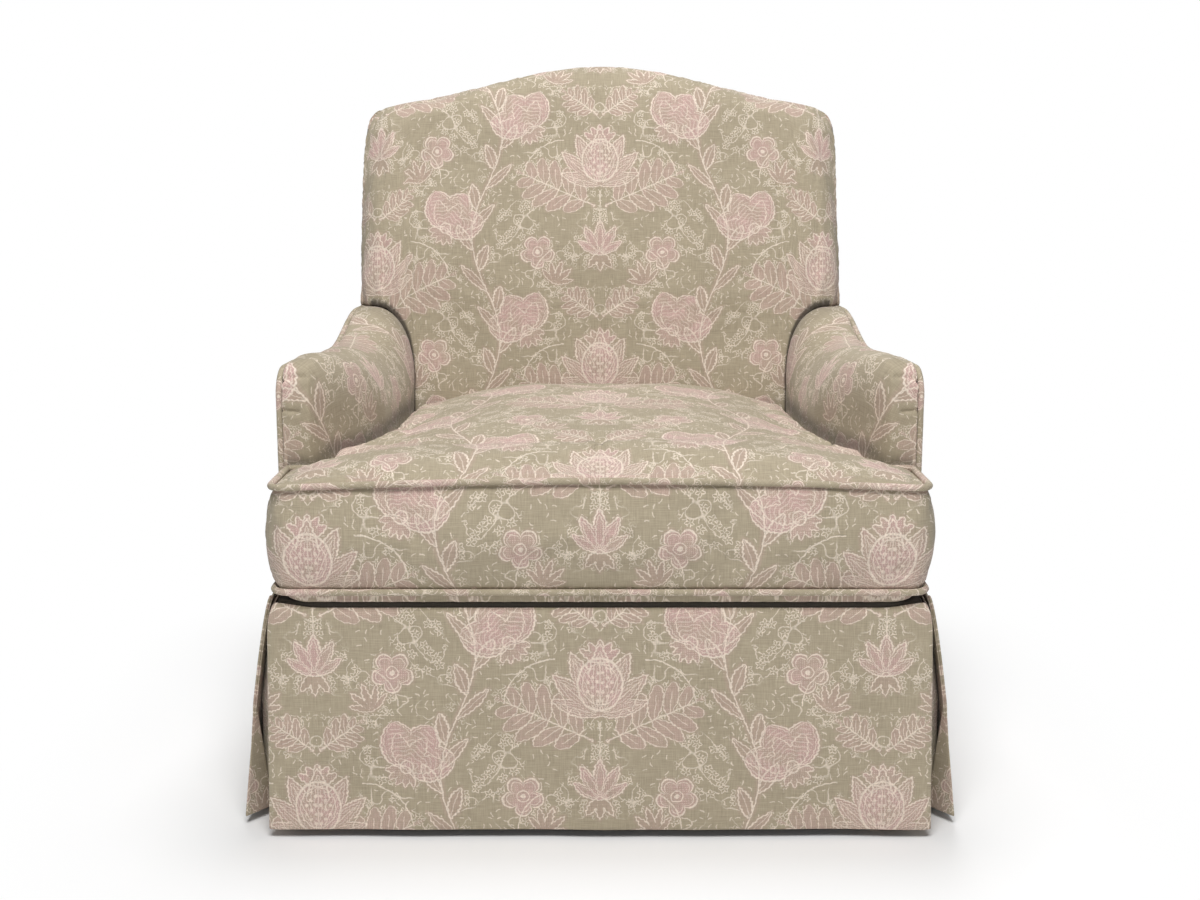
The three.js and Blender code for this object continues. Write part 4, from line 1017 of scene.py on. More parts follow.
def moulded_nylon():
    """Moulded nylon: a fine spark-eroded grain with scuffs."""
    material, tree, shader = blank_material("moulded_nylon")
    place = object_coordinates(tree)
    grain = noise_field(tree, place, 1400.0, 2.0, 0.6)
    scuff = noise_field(tree, place, 1.0, 3.0, 0.7, (500.0, 90.0, 90.0)).step(0.55, 0.7)
    tree.links.new(blend_colours(tree, scuff, (0.035, 0.033, 0.030), (0.12, 0.115, 0.11)),
                   shader.inputs["Base Color"])
    tree.links.new((grain * 0.2 + scuff * 0.2 + 0.35).source, shader.inputs["Roughness"])
    tree.links.new(bump(tree, grain, 0.2, 0.0002), shader.inputs["Normal"])
    lay_out(tree)
    return material


def zip_tape():
    """The zip: a satin coil's teeth as bands along a woven tape, over a fine fuzz."""
    material, tree, shader = blank_material("zip_tape_woven")
    place = object_coordinates(tree)
    split = tree.nodes.new("ShaderNodeSeparateXYZ")
    tree.links.new(place, split.inputs[0])
    along = Field(tree, split.outputs["X"])
    tooth = (along * (2 * math.pi / 0.0028)).sin()
    fuzz = noise_field(tree, place, 900.0, 2.0, 0.5)
    tree.links.new(blend_colours(tree, tooth.step(-0.2, 0.5), (0.24, 0.20, 0.15), (0.36, 0.31, 0.24)),
                   shader.inputs["Base Color"])
    tree.links.new((tooth * -0.15 + fuzz * 0.3 + 0.5).source, shader.inputs["Roughness"])
    tree.links.new(bump(tree, tooth + fuzz * 0.3, 0.6, 0.0006), shader.inputs["Normal"])
    lay_out(tree)
    return material


# Settings


class ChairCloth(bpy.types.PropertyGroup):
    """Colours and scale of the printed linen and the other finishes"""

    ground: FloatVectorProperty(name="Ground", description="Colour of the unprinted linen", subtype="COLOR",
                                size=3, min=0, max=1, default=(0.385, 0.332, 0.240))
    fill: FloatVectorProperty(name="Fill", description="Colour of the flowers", subtype="COLOR", size=3,
                              min=0, max=1, default=(0.520, 0.345, 0.322))
    outline: FloatVectorProperty(name="Outline", description="Colour of the drawn lines", subtype="COLOR",
                                 size=3, min=0, max=1, default=(0.800, 0.705, 0.605))
    deck: FloatVectorProperty(name="Deck cloth", description="Colour of the plain cloth under the cushion",
                              subtype="COLOR", size=3, min=0, max=1, default=(0.075, 0.066, 0.055))
    wood: FloatVectorProperty(name="Wood", description="Colour of the frame", subtype="COLOR", size=3,
                              min=0, max=1, default=(0.55, 0.36, 0.20))
    repeat_width: FloatProperty(name="Repeat width", description="From one upright axis of the print to the next",
                                unit="LENGTH", min=0.05, default=0.33)
    repeat_height: FloatProperty(name="Repeat height", description="Height after which the print repeats",
                                 unit="LENGTH", min=0.05, default=0.30)
    thread: FloatProperty(name="Thread", description="From one thread to the next", unit="LENGTH", min=0.0002,
                          default=0.0008)


class ChairForm(bpy.types.PropertyGroup):
    """Sizes of the stuffing and the sewn details"""

    cushion_crown: FloatProperty(name="Cushion crown", description="Height of the crown over the upper welt",
                                 unit="LENGTH", min=0.0, default=0.052)
    cushion_swell: FloatProperty(name="Boxing swell", description="How far the cushion's sides bulge",
                                 unit="LENGTH", min=0.0, default=0.009)
    pucker: FloatProperty(name="Pucker", description="Depth of the gathers beside the welts", unit="LENGTH",
                          min=0.0, default=0.0007)
    rumple: FloatProperty(name="Rumple", description="Depth of the soft unevenness", unit="LENGTH", min=0.0,
                          default=0.0012)
    kick: FloatProperty(name="Skirt kick", description="How far the side skirts stand out at their hem",
                        unit="LENGTH", min=0.0, default=0.045)
    columns: IntProperty(name="Columns", description="Columns of faces across the widest covers", min=40,
                         default=150)


class ChairStudio(bpy.types.PropertyGroup):
    """Light and floor"""

    floor: FloatVectorProperty(name="Floor", description="Colour of the floor", subtype="COLOR", size=3, min=0,
                               max=1, default=(0.88, 0.88, 0.88))
    sky: FloatProperty(name="Sky", description="Strength of the even light from all round", min=0.0,
                       default=0.12)
    key: FloatProperty(name="Key", description="Power of the large lamp over the front", unit="POWER", min=0.0,
                       default=88.0)
    top: FloatProperty(name="Top", description="Power of the lamp over the back", unit="POWER", min=0.0,
                       default=27.5)
    fill: FloatProperty(name="Fill", description="Power of the low lamp in front", unit="POWER", min=0.0,
                        default=11.0)
    rear: FloatProperty(name="Rear", description="Power of the lamp behind", unit="POWER", min=0.0,
                        default=46.0)


# Cloth with two faces


def grid_normals(grid, out):
    """Normals of a grid of points, on the side that looks along `out` on the whole."""
    normal = np.cross(np.gradient(grid, axis=0), np.gradient(grid, axis=1))
    normal /= np.maximum(np.linalg.norm(normal, axis=-1, keepdims=True), 1e-12)
    return normal * np.sign((normal @ np.array(out, dtype=float)).sum())


def layered(face, out, thickness, cloth):
    """A cloth's outer face, its inner face one thickness behind it, and half rounds along the four edges. Each
    half round is a semicircle from the outer face to the inner one that bulges away from the cloth."""
    inner = face - grid_normals(face, out) * thickness
    grids = [(face, cloth), (inner, cloth)]
    turn = np.linspace(0, math.pi, 5)[:, None, None]
    for edge, beside in ((np.s_[0], np.s_[1]), (np.s_[-1], np.s_[-2]),
                         (np.s_[:, 0], np.s_[:, 1]), (np.s_[:, -1], np.s_[:, -2])):
        away = face[edge] - face[beside]
        away /= np.maximum(np.linalg.norm(away, axis=-1, keepdims=True), 1e-12)
        chord = (face[edge] + inner[edge]) / 2 + (face[edge] - inner[edge]) / 2 * np.cos(turn)
        ring = chord + away * np.sin(turn) * thickness / 2
        uv = np.broadcast_to(cloth[edge], ring.shape[:2] + (2,))
        grids.append((ring, uv))
        for end in (0, -1):
            grids.append((np.stack([ring[:, end], chord[:, end]]), np.stack([uv[:, end], uv[:, end]])))
    return grids


def hang_sheet(name, face, out, thickness, cloth, material, node):
    """A sheet of cloth on the frame, over a grid of points."""
    piece = make_piece(name, layered(face, out, thickness, cloth), material)
    finish_cloth(piece, "frame", (node,))
    return piece


# Outlines


def eased(starts, counts, close):
    """Shares from 0 to 1: stretches of even steps from each start to the next, then a quarter circle's sines
    over the last part, up to 1."""
    ends = (*starts[1:], 1 - close)
    steps = [np.linspace(a, b, count, endpoint=False) for a, b, count in zip(starts, ends, counts)]
    return np.concatenate([*steps, 1 - close * (1 - np.sin(np.linspace(0, math.pi / 2, 15)))])


def arc_points(x, d, radius, start, end, count):
    """Points along an arc in plan."""
    angle = np.linspace(start, end, count)
    return np.stack([x + radius * np.cos(angle), d + radius * np.sin(angle)], axis=1)


def respaced(path, count):
    """A path of points walked again with a count of points at equal distances."""
    length = run(path[None], 1)[0]
    stops = np.linspace(0, length[-1], count)
    return np.stack([np.interp(stops, length, path[:, k]) for k in range(path.shape[1])], axis=1)


def evenly(path, step):
    """A path of points walked again in equal steps, each about `step` long."""
    whole = run(path[None], 1)[0, -1]
    return respaced(path, max(2, int(round(whole / step)) + 1))


def seat_outline(front, ear, ear_radius, clear, rear, step):
    """Plan of a seat that fills the space between the arms: two ears before them and a stem between them.
    It runs from the middle of the front to the right and round."""
    quarter = math.pi / 2
    notch_x, notch_d = nose_line(np.linspace(0, 1, 40), clear)
    ear_rear = ARM_SETBACK - clear
    stem_end = rear - REAR_CORNER
    stem_d = np.linspace(NOSE_END, stem_end, 20)[1:-1]
    corner = float(arm_inner(rear)) - clear - REAR_CORNER
    half = np.concatenate([
        [[0.0, front]],
        arc_points(ear - ear_radius, front + ear_radius, ear_radius, -quarter, 0, 12),
        arc_points(ear - 0.008, ear_rear - 0.008, 0.008, 0, quarter, 8),
        np.stack([notch_x, notch_d], axis=1),
        np.stack([arm_inner(stem_d) - clear, stem_d], axis=1),
        arc_points(corner, stem_end, REAR_CORNER, 0, quarter, 10),
        [[0.0, rear]]])
    half = evenly(half, step)
    half[0, 0] = half[-1, 0] = 0.0
    return np.concatenate([half, half[-2:0:-1] * (-1, 1)])


def cushion_outline(inset, step=0.0055):
    return seat_outline(CUSHION_FRONT + inset, EAR_HALF - inset, EAR_RADIUS, CUSHION_CLEAR + inset,
                        CUSHION_REAR - inset, step)


def spine_of(d):
    """Depth of the crown's ridge that a point of the outline runs up to."""
    share = np.clip((d - ARM_SETBACK) / (CUSHION_REAR - REAR_CORNER - ARM_SETBACK), 0, 1)
    return SPINE_FRONT + (SPINE_REAR - SPINE_FRONT) * share


def spine_top(d, crown):
    """Height of the crown's ridge: it falls towards the front by a square."""
    return UPPER_WELT + crown - SPINE_FALL * ((SPINE_REAR - d) / (SPINE_REAR - SPINE_FRONT)) ** 2


def welt_height(x, d):
    """Height of the cushion's upper welt: level, but arched in the middle of the front by a cosine."""
    near = np.where(np.abs(d - CUSHION_FRONT) < ARM_SETBACK,
                    (1 + np.cos(math.pi * (d - CUSHION_FRONT) / ARM_SETBACK)) / 2, 0)
    return UPPER_WELT + FRONT_ARCH * near * (1 - np.minimum(1, np.abs(x) / EAR_HALF) ** 2)


def add_cushion(form, linen):
    """The loose cushion's cover and cords. Rings of its outline run in along the flat underside, up the boxing,
    which swells by half a sine, and in over the crown, which rises by 1 less the cube of the share left to go.
    Where the arms press on it, the crown bulges by a bell curve beside the seam."""
    outline = cushion_outline(SEAM_INSET)
    outline = np.concatenate([outline, outline[:1]])
    x, d = outline.T
    ahead = directions(outline, closed=True)
    out = np.stack([ahead[:, 1], -ahead[:, 0]], axis=1)
    spine = spine_of(d)
    around = run(outline[None], 1)[0]
    top = welt_height(x, d) - SEAM_GAP
    low = LOWER_WELT + SEAM_GAP
    t = np.linspace(0, 1, 25)[:, None]
    free = smooth((ARM_SETBACK - d) / ARM_SETBACK) + 0.12
    sag = 1 + 0.22 * np.sin(x * 9.7 + d * 6.0) * np.sin(x * 23.1 - d * 15.0 + 1.2)
    swell = form.cushion_swell * np.sin(math.pi * t) * free * sag
    height = low + (top - low) * t
    at_rear = smooth((d - 0.50) / 0.02) * smooth((0.200 - np.abs(x)) / 0.008)
    swell = swell - 0.0032 * at_rear * np.exp(-((height - ZIP_HEIGHT) / 0.006) ** 4)
    boxing = points(x + out[:, 0] * swell, d + out[:, 1] * swell, height)
    boxing_cloth = np.stack(np.broadcast_arrays(around, height), axis=-1)
    rear = len(outline) // 2
    halves = [(boxing[:, :rear + 1], boxing_cloth[:, :rear + 1]),
              (boxing[:, rear:], boxing_cloth[:, rear:] - (around[-1], 0.0))]
    share = np.concatenate([np.linspace(1, 0.96, 12), np.linspace(0.96, 0.80, 12)[1:],
                            np.linspace(0.80, 0, 28)[1:]])[:, None]
    peak = spine_top(spine, form.cushion_crown)
    rise = 1 - share ** 3
    crown_x, crown_d = x * share, spine + (d - spine) * share
    uneven = 0.0022 * np.sin(crown_x * 11 + 0.7) * np.sin(crown_d * 13 + 0.4) * (1 - share ** 6)
    inward = (1 - share) * np.hypot(x, d - spine)
    squeezed = smooth((d - ARM_SETBACK) / 0.035)
    bulge = CROWN_BULGE * squeezed * (1 - np.exp(-(inward / 0.0026) ** 2)) * np.exp(-(inward / 0.034) ** 2)
    crown = points(crown_x, crown_d, top + (peak - top) * rise + uneven + bulge)
    crown_cloth = np.stack([crown[..., 0], crown[..., 1] - PLAN_Y + 0.46], axis=-1)
    below = np.concatenate([np.linspace(0, 0.93, 16), [0.95, 0.965, 0.98, 0.99, 1.0]])[:, None]
    lift = (low - CUSHION_FOOT) * smooth((below - 0.950) / 0.050) ** 1.2
    under = points(x * below, spine + (d - spine) * below, CUSHION_FOOT + 0.0008 + lift)
    under_cloth = np.stack([under[..., 0], PLAN_Y - under[..., 1]], axis=-1)
    cover = make_piece("cushion_cover_sewn", [(under, under_cloth), *halves, (crown, crown_cloth)], linen)
    path = cushion_outline(WELT_RADIUS)
    upper = points(path[:, 0], path[:, 1], welt_height(*path.T))
    lower = points(path[:, 0], path[:, 1], LOWER_WELT)
    places = places_of(cover)
    near = np.minimum(nearest_on(upper, places)[0], nearest_on(lower, places)[0])
    hold = np.clip(1.35 - near / 0.014, 0, 1)
    hold = np.maximum(hold, smooth((0.300 - places[:, 2]) / 0.012))
    depth = places[:, 1] - PLAN_Y
    hold = np.maximum(hold, 0.85 * smooth((depth - 0.10) / 0.03) * smooth((0.41 - places[:, 2]) / 0.01))
    settle(cover, hold, 0.007, 10, 3.5)
    pucker(cover, upper, form.pucker, 0.016, 0.017, 3, groove=0.0026)
    pucker(cover, lower, form.pucker, 0.012, 0.019, 4, groove=0.0024)
    rumple(cover, form.rumple, 0.16, 5, lambda p: smooth((p[:, 2] - 0.30) / 0.02))
    # Painted shade: a darker band on the crown beside the upper welt where the arms press on it, in place of the
    # contact shadow.
    pressed = smooth((depth - ARM_SETBACK - 0.01) / 0.03) * (places[:, 2] > welt_height(places[:, 0], depth))
    paint_crease_shade(cover, 0.50 * pressed * smooth(1 - nearest_on(upper, places)[0] / 0.014))
    finish_cloth(cover, "cushion", ("cushion_cover", "cushion_core"))
    up = np.array([0.0, 0.0, 1.0])
    welt_cord("cushion_upper_cord", upper, up, linen, "cushion", ("cushion_upper_welt",), closed=True)
    welt_cord("cushion_lower_cord", lower, up, linen, "cushion", ("cushion_lower_welt",), closed=True,
              start=0.05)


# Back


def back_point(u, v, inset=0.0):
    """A point of the inside back's outline or face: a share across and a share up, with round top corners."""
    x = u * (back_half(PANEL_FOOT + v * (BACK_HEIGHT - PANEL_FOOT)) - inset)
    radius = BACK_CORNER - inset
    corner = np.clip((np.abs(x) - (BACK_TOP_HALF + BACK_SWELL - BACK_CORNER)) / radius, 0, 1)
    top = camel_top(x) - inset - radius * quarter_round(corner)
    return x, PANEL_FOOT + v * (top - PANEL_FOOT)


def back_edge(inset, step=0.006):
    """The outside back's outline, from the lower left over the top to the lower right, as x and height."""
    v = np.linspace(0, 1, 200)
    u = np.linspace(-1, 1, 600)
    left = np.stack(back_point(-np.ones_like(v), v, inset), axis=1)
    over = np.stack(back_point(u, np.ones_like(u), inset), axis=1)
    right = left[::-1] * (-1, 1)
    return evenly(np.concatenate([left, over[1:-1], right]), step)


def add_back(form, linen):
    """The inside back with its rim and the hollow behind its pad. The face is a grid of shares across and up;
    the rim carries the outline back to the frame's rear plane."""
    half = eased((0, 0.72, 0.86), (form.columns // 4, 34, 8), BACK_EDGE / BACK_HALF)
    u = np.concatenate([-half[::-1], half[1:]])
    v = eased((0, 0.28, 0.47), (14, 48, 52), BACK_EDGE / (BACK_HEIGHT - PANEL_FOOT))
    x, z = back_point(*np.meshgrid(u, v))
    pocket = POCKET_DEPTH * smooth((arm_pocket(x, z) + POCKET_START) / POCKET_SLOPE)
    face = points(x, back_face(x, z) + pocket, z)
    middle = len(u) // 2
    across = run(face, 1)
    across = across - across[:, middle:middle + 1]
    face_cloth = np.stack([across, run(face, 0) + PANEL_FOOT], axis=-1)
    grids = [(face, face_cloth)]

    def within(edge_x, edge_z):
        """The hollow behind the pad is a little smaller than the outline."""
        return edge_x * 0.99, PANEL_FOOT + (edge_z - PANEL_FOOT) * 0.992

    for pick, way in ((np.s_[0], (0, -1)), (np.s_[-1], (0, 1)), (np.s_[:, 0], (-1, 0)), (np.s_[:, -1], (1, 0))):
        edge = face[pick]
        depth = rear_plane(edge[:, 2]) - FACE_INSET + PLAN_Y - edge[:, 1]
        share = np.linspace(0, 1, 12)[:, None]
        rim = np.repeat(edge[None], 12, axis=0)
        rim[..., 1] += share * depth
        cloth = face_cloth[pick][None] + (share * depth)[..., None] * np.array(way, dtype=float)
        grids.append((rim, cloth))
        inner_x, inner_z = within(edge[:, 0], edge[:, 2])
        lip = points(inner_x, rear_plane(inner_z) - FACE_INSET, inner_z)
        pad = points(inner_x, rear_plane(inner_z) - PAD_DEPTH, inner_z)
        grids.append((np.stack([rim[-1], lip, pad]), np.repeat(cloth[-1][None], 3, axis=0)))
    hollow_x, hollow_z = within(x, z)
    grids.append((points(hollow_x, rear_plane(hollow_z) - PAD_DEPTH, hollow_z), face_cloth))
    cover = make_piece("inside_back", grids, linen)
    places = places_of(cover)
    depth = places[:, 1] - PLAN_Y
    front = back_face(places[:, 0], places[:, 2])
    edge = back_edge(0.0)
    rim_line = points(edge[:, 0], rear_plane(edge[:, 1]) - FACE_INSET, edge[:, 1])
    hold = smooth((depth - front - 0.004) / 0.02)
    hold = np.maximum(hold, smooth((0.31 - places[:, 2]) / 0.03))
    settle(cover, hold, 0.005, 8, 1.4)
    pucker(cover, rim_line, form.pucker, 0.014, 0.021, 8)
    rumple(cover, form.rumple * 0.8, 0.22, 9, lambda p: smooth((p[:, 2] - 0.32) / 0.05)
           * (rear_plane(p[:, 2]) - 0.012 > p[:, 1] - PLAN_Y))
    # Painted shadow: a dark line on the back beside each arm's end, where the contact shadow falls, wider lower
    # down.
    inside = np.abs(places[:, 0]) < back_half(places[:, 2]) - 0.012
    reach = 0.0125 + 0.0055 * smooth((0.590 - places[:, 2]) / 0.070)
    paint_crease_shade(cover, 0.88 * inside * smooth((arm_pocket(places[:, 0], places[:, 2]) + reach) / 0.004))
    finish_cloth(cover, "frame", ("back_cover", "back_pad"))


def add_back_outside(linen):
    """The outside back: a flat panel that fills the outline inside the welt, on the leaning rear plane."""
    u = np.linspace(-1, 1, 121)
    v = np.linspace(0, 1, 101)
    x, z = back_point(*np.meshgrid(u, v), inset=FACE_INSET)
    hollow = PANEL_HOLLOW * np.sin(math.pi * np.clip((z - PANEL_FOOT) / (BACK_HEIGHT - PANEL_FOOT), 0, 1))
    face = points(x, rear_plane(z) - PANEL_SINK - hollow * (1 - (x / BACK_HALF) ** 2), z)
    cloth = np.stack([-x, (z - PANEL_FOOT) / math.cos(RAKE) + PANEL_FOOT], axis=-1)
    panel = hang_sheet("outside_back", face, (0, 1, 0), COVER_THICKNESS, cloth, linen, "outside_back_panel")
    rumple(panel, 0.0006, 0.25, 12)
    edge = back_edge(WELT_RADIUS)
    path = points(edge[:, 0], rear_plane(edge[:, 1]) - WELT_RADIUS, edge[:, 1])
    normal = np.array([0.0, math.cos(RAKE), -math.sin(RAKE)])
    welt_cord("back_cord", path, normal, linen, "frame", ("back_welt",))


# Arms


def arm_end(x, z):
    """Depth at which an arm's cover meets the inside back and is tucked a little into it."""
    return back_face(x, z) + ARM_TUCK


def arm_grid(start, along, outer, share, level, drop, crease):
    """Rows of an arm at stations along it. `share` is how far a row lies from the crown to the edge and `level`
    how far up the wall. Depth depends on where the back is met, so it is found by repeated substitution. Near
    the back the roll dips by a quarter round, and the wall steps back by one as deep as the crease."""
    begin = CROWN_START + (start - CROWN_START) * share
    d = begin + (ARM_END_GUESS - begin) * along
    for _ in range(12):
        crown = body_half(d) - ARM_WIDTH * ARM_CROWN_SHARE
        x = crown + (outer(d) - crown) * share
        roll = arm_line(d) + arm_crown(d) - drop(d) * quarter_round(share)
        z = COVER_FOOT + (roll - COVER_FOOT) * level
        d = begin + (arm_end(x, z) - begin) * along
    left = arm_end(x, z) - d
    x = x + crease * share * quarter_round(np.clip(1 - left / CREASE_REACH, 0, 1))
    z = z - ARM_DIP * level * np.sqrt(1 - share ** 2) * quarter_round(np.clip(1 - left / DIP_REACH, 0, 1))
    return points(x, d, z)


def arm_fixed(x, d, share, level, drop):
    """Rows of an arm at stations round its nose, all drawn in towards one point of the crown."""
    crown = float(body_half(CROWN_START)) - ARM_WIDTH * ARM_CROWN_SHARE
    roll = ARM_LINE + ARM_FRONT_RISE + ARM_CROWN - drop * quarter_round(share)
    return points(crown + (x - crown) * share, CROWN_START + (d - CROWN_START) * share,
                  COVER_FOOT + (roll - COVER_FOOT) * level)


def arm_rows(share, level):
    """An arm's surface for the given rows: along the outside to the front, round the nose and along the inside.
    It also gives the number of the first column of the front and of the nose's end."""
    share, level = share[:, None], level[:, None]
    along = np.concatenate([np.linspace(0, 0.90, 70), 0.90 + 0.10 * np.sin(np.linspace(0, math.pi / 2, 18))[1:]])
    outside = arm_grid(CROWN_START, along[::-1], lambda d: body_half(d) - FACE_INSET, share, level, arm_crown, 0.0)
    turn = np.linspace(0, math.pi / 2, 18)[1:]
    d = CROWN_START - NOSE_RADIUS * np.sin(turn)
    corner = arm_fixed(body_half(d) - FACE_INSET, d, share, level,
                       ARM_CROWN + NOSE_RADIUS * (1 - np.cos(turn)))
    flat = ARM_HALF - NOSE_FLAT
    x = np.linspace(float(body_half(ARM_SETBACK)) - FACE_INSET, flat, 22)[1:-1]
    front = arm_fixed(x, np.full_like(x, ARM_SETBACK), share, level, ARM_CROWN + NOSE_RADIUS)
    t = np.linspace(0, 1, 64)
    nose_drop = ARM_CROWN + NOSE_RADIUS
    nose = arm_fixed(*nose_line(t), share, level, nose_drop + (ARM_ROLL_DROP - nose_drop) * smooth(t))
    inside = arm_grid(NOSE_END, along, arm_inner, share, level, lambda d: np.full_like(d, ARM_ROLL_DROP),
                      CREASE_DEPTH)
    first = outside.shape[1] + corner.shape[1] - 1
    grid = np.concatenate([outside, corner, front, nose, inside[:, 1:]], axis=1)
    return grid, first, outside.shape[1] + corner.shape[1] + front.shape[1] + nose.shape[1]


def unfold(grids):
    """Cloth coordinates of several joined grids, laid flat as one piece. The unwrapping keeps angles; it is then
    scaled to the surface's own size and turned so that height runs up the cloth on the grids' walls."""
    count = np.cumsum([0] + [g.shape[0] * g.shape[1] for g in grids])
    places = np.concatenate([g.reshape(-1, 3) for g in grids])
    _, first, index = np.unique(np.round(places, 6), axis=0, return_index=True, return_inverse=True)
    index = index.ravel()
    cells = index[np.concatenate([cell_corners(g.shape[0], g.shape[1], start)
                                  for g, start in zip(grids, count)])]
    corners = [list(dict.fromkeys(cell)) for cell in cells.tolist()]
    mesh = bpy.data.meshes.new("unfolding")
    mesh.from_pydata(places[first].tolist(), [], [c for c in corners if len(c) > 2])
    mesh.uv_layers.new(name="cloth")
    helper = link_object("unfolding", mesh)
    bpy.context.view_layer.objects.active = helper
    bpy.ops.object.mode_set(mode="EDIT")
    bpy.ops.mesh.select_all(action="SELECT")
    bpy.ops.uv.unwrap(method="ANGLE_BASED", margin=0.0)
    bpy.ops.object.mode_set(mode="OBJECT")
    flat = np.empty(len(mesh.loops) * 2)
    mesh.uv_layers["cloth"].data.foreach_get("uv", flat)
    loops = np.empty(len(mesh.loops), dtype=int)
    mesh.loops.foreach_get("vertex_index", loops)
    own = np.zeros((len(mesh.vertices), 2))
    own[loops] = flat.reshape(-1, 2)
    bpy.data.objects.remove(helper)
    bpy.data.meshes.remove(mesh)
    layouts = own[index]
    span = [np.linalg.norm(np.diff(g, axis=0), axis=-1).sum() for g in grids]
    spread = [np.linalg.norm(np.diff(layouts[a:b].reshape(g.shape[:2] + (2,)), axis=0), axis=-1).sum()
              for g, a, b in zip(grids, count[:-1], count[1:])]
    layouts = layouts * (sum(span) / sum(spread))
    return [layouts[a:b].reshape(g.shape[:2] + (2,)) for g, a, b in zip(grids, count[:-1], count[1:])]


def straighten(layouts, wall, wall_place):
    """Turns and shifts flat layouts, mirroring them if need be, so that on the wall they best match its own
    length and height: a least-squares fit of complex numbers."""
    target = wall_place[..., 0].ravel() + 1j * wall_place[..., 1].ravel()
    best = None
    for mirror in (1, -1):
        source = wall[..., 0].ravel() + 1j * mirror * wall[..., 1].ravel()
        s, w = source - source.mean(), target - target.mean()
        turn = (np.conj(s) * w).sum()
        turn /= abs(turn)
        left = abs(w - turn * s).sum()
        if best is None or left < best[0]:
            best = (left, mirror, turn, target.mean() - turn * source.mean())
    _, mirror, turn, shift = best
    done = []
    for layout in layouts:
        z = (layout[..., 0] + 1j * mirror * layout[..., 1]) * turn + shift
        done.append(np.stack([z.real, z.imag], axis=-1))
    return done


def inside_arm(places):
    """1 where a point of an arm lies inwards of its outer edge, else 0."""
    return np.abs(places[:, 0]) < body_half(places[:, 1] - PLAN_Y) - 0.012


def paint_arm_shade(cover):
    """Paints shade into an arm's creases: a dark line of painted shadow with a soft run-up where it meets the back,
    and a band of painted shade at the height of the cushion's crown."""
    places = places_of(cover)
    depth = places[:, 1] - PLAN_Y
    left = arm_end(places[:, 0], places[:, 2]) - depth
    at_back = np.maximum(0.80 * smooth(1 - left / 0.012), 0.34 * smooth(1 - left / 0.080))
    seat = UPPER_WELT + 0.004 + 0.013 * smooth((depth - ARM_SETBACK) / 0.035)
    at_seat = 0.50 * smooth(1 - np.abs(places[:, 2] - seat) / 0.019)
    paint_crease_shade(cover, inside_arm(places) * np.maximum(at_back, at_seat))


def dart(cover, seam, depth=0.0024, width=0.0018):
    """A dart sewn into an arm's front: the cloth dips along a seam, given in front view as x and height, by a
    bell curve of the distance from it, and stands up a little above it."""
    places = places_of(cover)
    far, _ = nearest_on(evenly(np.array(seam), 0.001), places[:, (0, 2)])
    amount = 0.0006 * np.exp(-((far - 0.007) / 0.004) ** 2) - depth * np.exp(-(far / width) ** 2)
    amount *= places[:, 1] < PLAN_Y + ARM_SETBACK + 0.03
    set_places(cover, places + normals_of(cover) * amount[:, None])


def add_arms(form, linen):
    """Both arms: a roll whose rows are quarter rounds from the edge to the crown, over upright walls."""
    turn = np.linspace(0, math.pi / 2, 30)
    roll_share = np.cos(turn)
    roll_share[-1] = 0.0
    roll, first, nose_end = arm_rows(roll_share, np.ones_like(roll_share))
    level = np.concatenate([np.linspace(0, 0.78, 22), np.linspace(0.78, 1, 36)[1:]])
    wall, _, _ = arm_rows(np.ones_like(level), level)
    share = np.linspace(0, 1, 10)
    under, _, _ = arm_rows(share, np.zeros_like(share))
    seen, hidden = wall[:, first:], wall[:, :first + 1]
    roll_cloth, seen_cloth = unfold([roll, seen])
    nose_columns = nose_end - first
    straight = np.stack([run(seen, 1)[:, :nose_columns], seen[:, :nose_columns, 2]], axis=-1)
    roll_cloth, seen_cloth = straighten([roll_cloth, seen_cloth], seen_cloth[:, :nose_columns], straight)
    offset = np.array([0.10, 0.0])
    roll_cloth, seen_cloth = roll_cloth + offset, seen_cloth + offset
    hidden_cloth = np.stack([run(hidden, 1), hidden[..., 2]], axis=-1)
    under_cloth = np.stack([under[..., 0], under[..., 1]], axis=-1)
    welt_line = arm_edge(WELT_RADIUS)[:-1]
    surfaces = ((roll, roll_cloth), (seen, seen_cloth), (hidden, hidden_cloth), (under, under_cloth))
    for name, side in SIDES:
        grids = [(grid * (side, 1.0, 1.0), cloth) for grid, cloth in surfaces]
        cover = make_piece(name + "_arm", grids, linen)
        path = points(side * (body_half(welt_line[:, 0]) - WELT_RADIUS), welt_line[:, 0], welt_line[:, 1])
        pucker(cover, path, form.pucker, 0.014, 0.018, 20 + side)
        rumple(cover, form.rumple, 0.13, 30 + side,
               lambda p: smooth((p[:, 2] - 0.30) / 0.04) * inside_arm(p))
        for seam in ARM_DARTS:
            dart(cover, [(side * x, z) for x, z in seam])
        paint_arm_shade(cover)
        finish_cloth(cover, "frame", (name + "_arm_cover", name + "_arm_pad"))
        foot = np.array([[ARM_SETBACK + WELT_RADIUS, PANEL_FOOT]])
        line_up = evenly(np.concatenate([foot, welt_line]), 0.006)
        path = points(side * (body_half(line_up[:, 0]) - WELT_RADIUS), line_up[:, 0], line_up[:, 1])
        welt_cord(name + "_arm_cord", path, np.array([1.0, 0.0, 0.0]), linen, "frame", (name + "_arm_welt",))
        add_arm_outside(name, side, linen)


def arm_edge(offset):
    """The arm in side view, as depth and height: a quarter circle over the nose, then the welt line."""
    radius = NOSE_RADIUS - offset
    angle = np.linspace(0, math.pi / 2, 40)
    nose = np.stack([CROWN_START - radius * np.cos(angle),
                     ARM_LINE + ARM_FRONT_RISE - NOSE_RADIUS + radius * np.sin(angle)], axis=1)
    d = np.linspace(CROWN_START, float(rear_plane(ARM_JOIN - offset)), 120)[1:]
    return np.concatenate([nose, np.stack([d, arm_line(d) - offset], axis=1)])


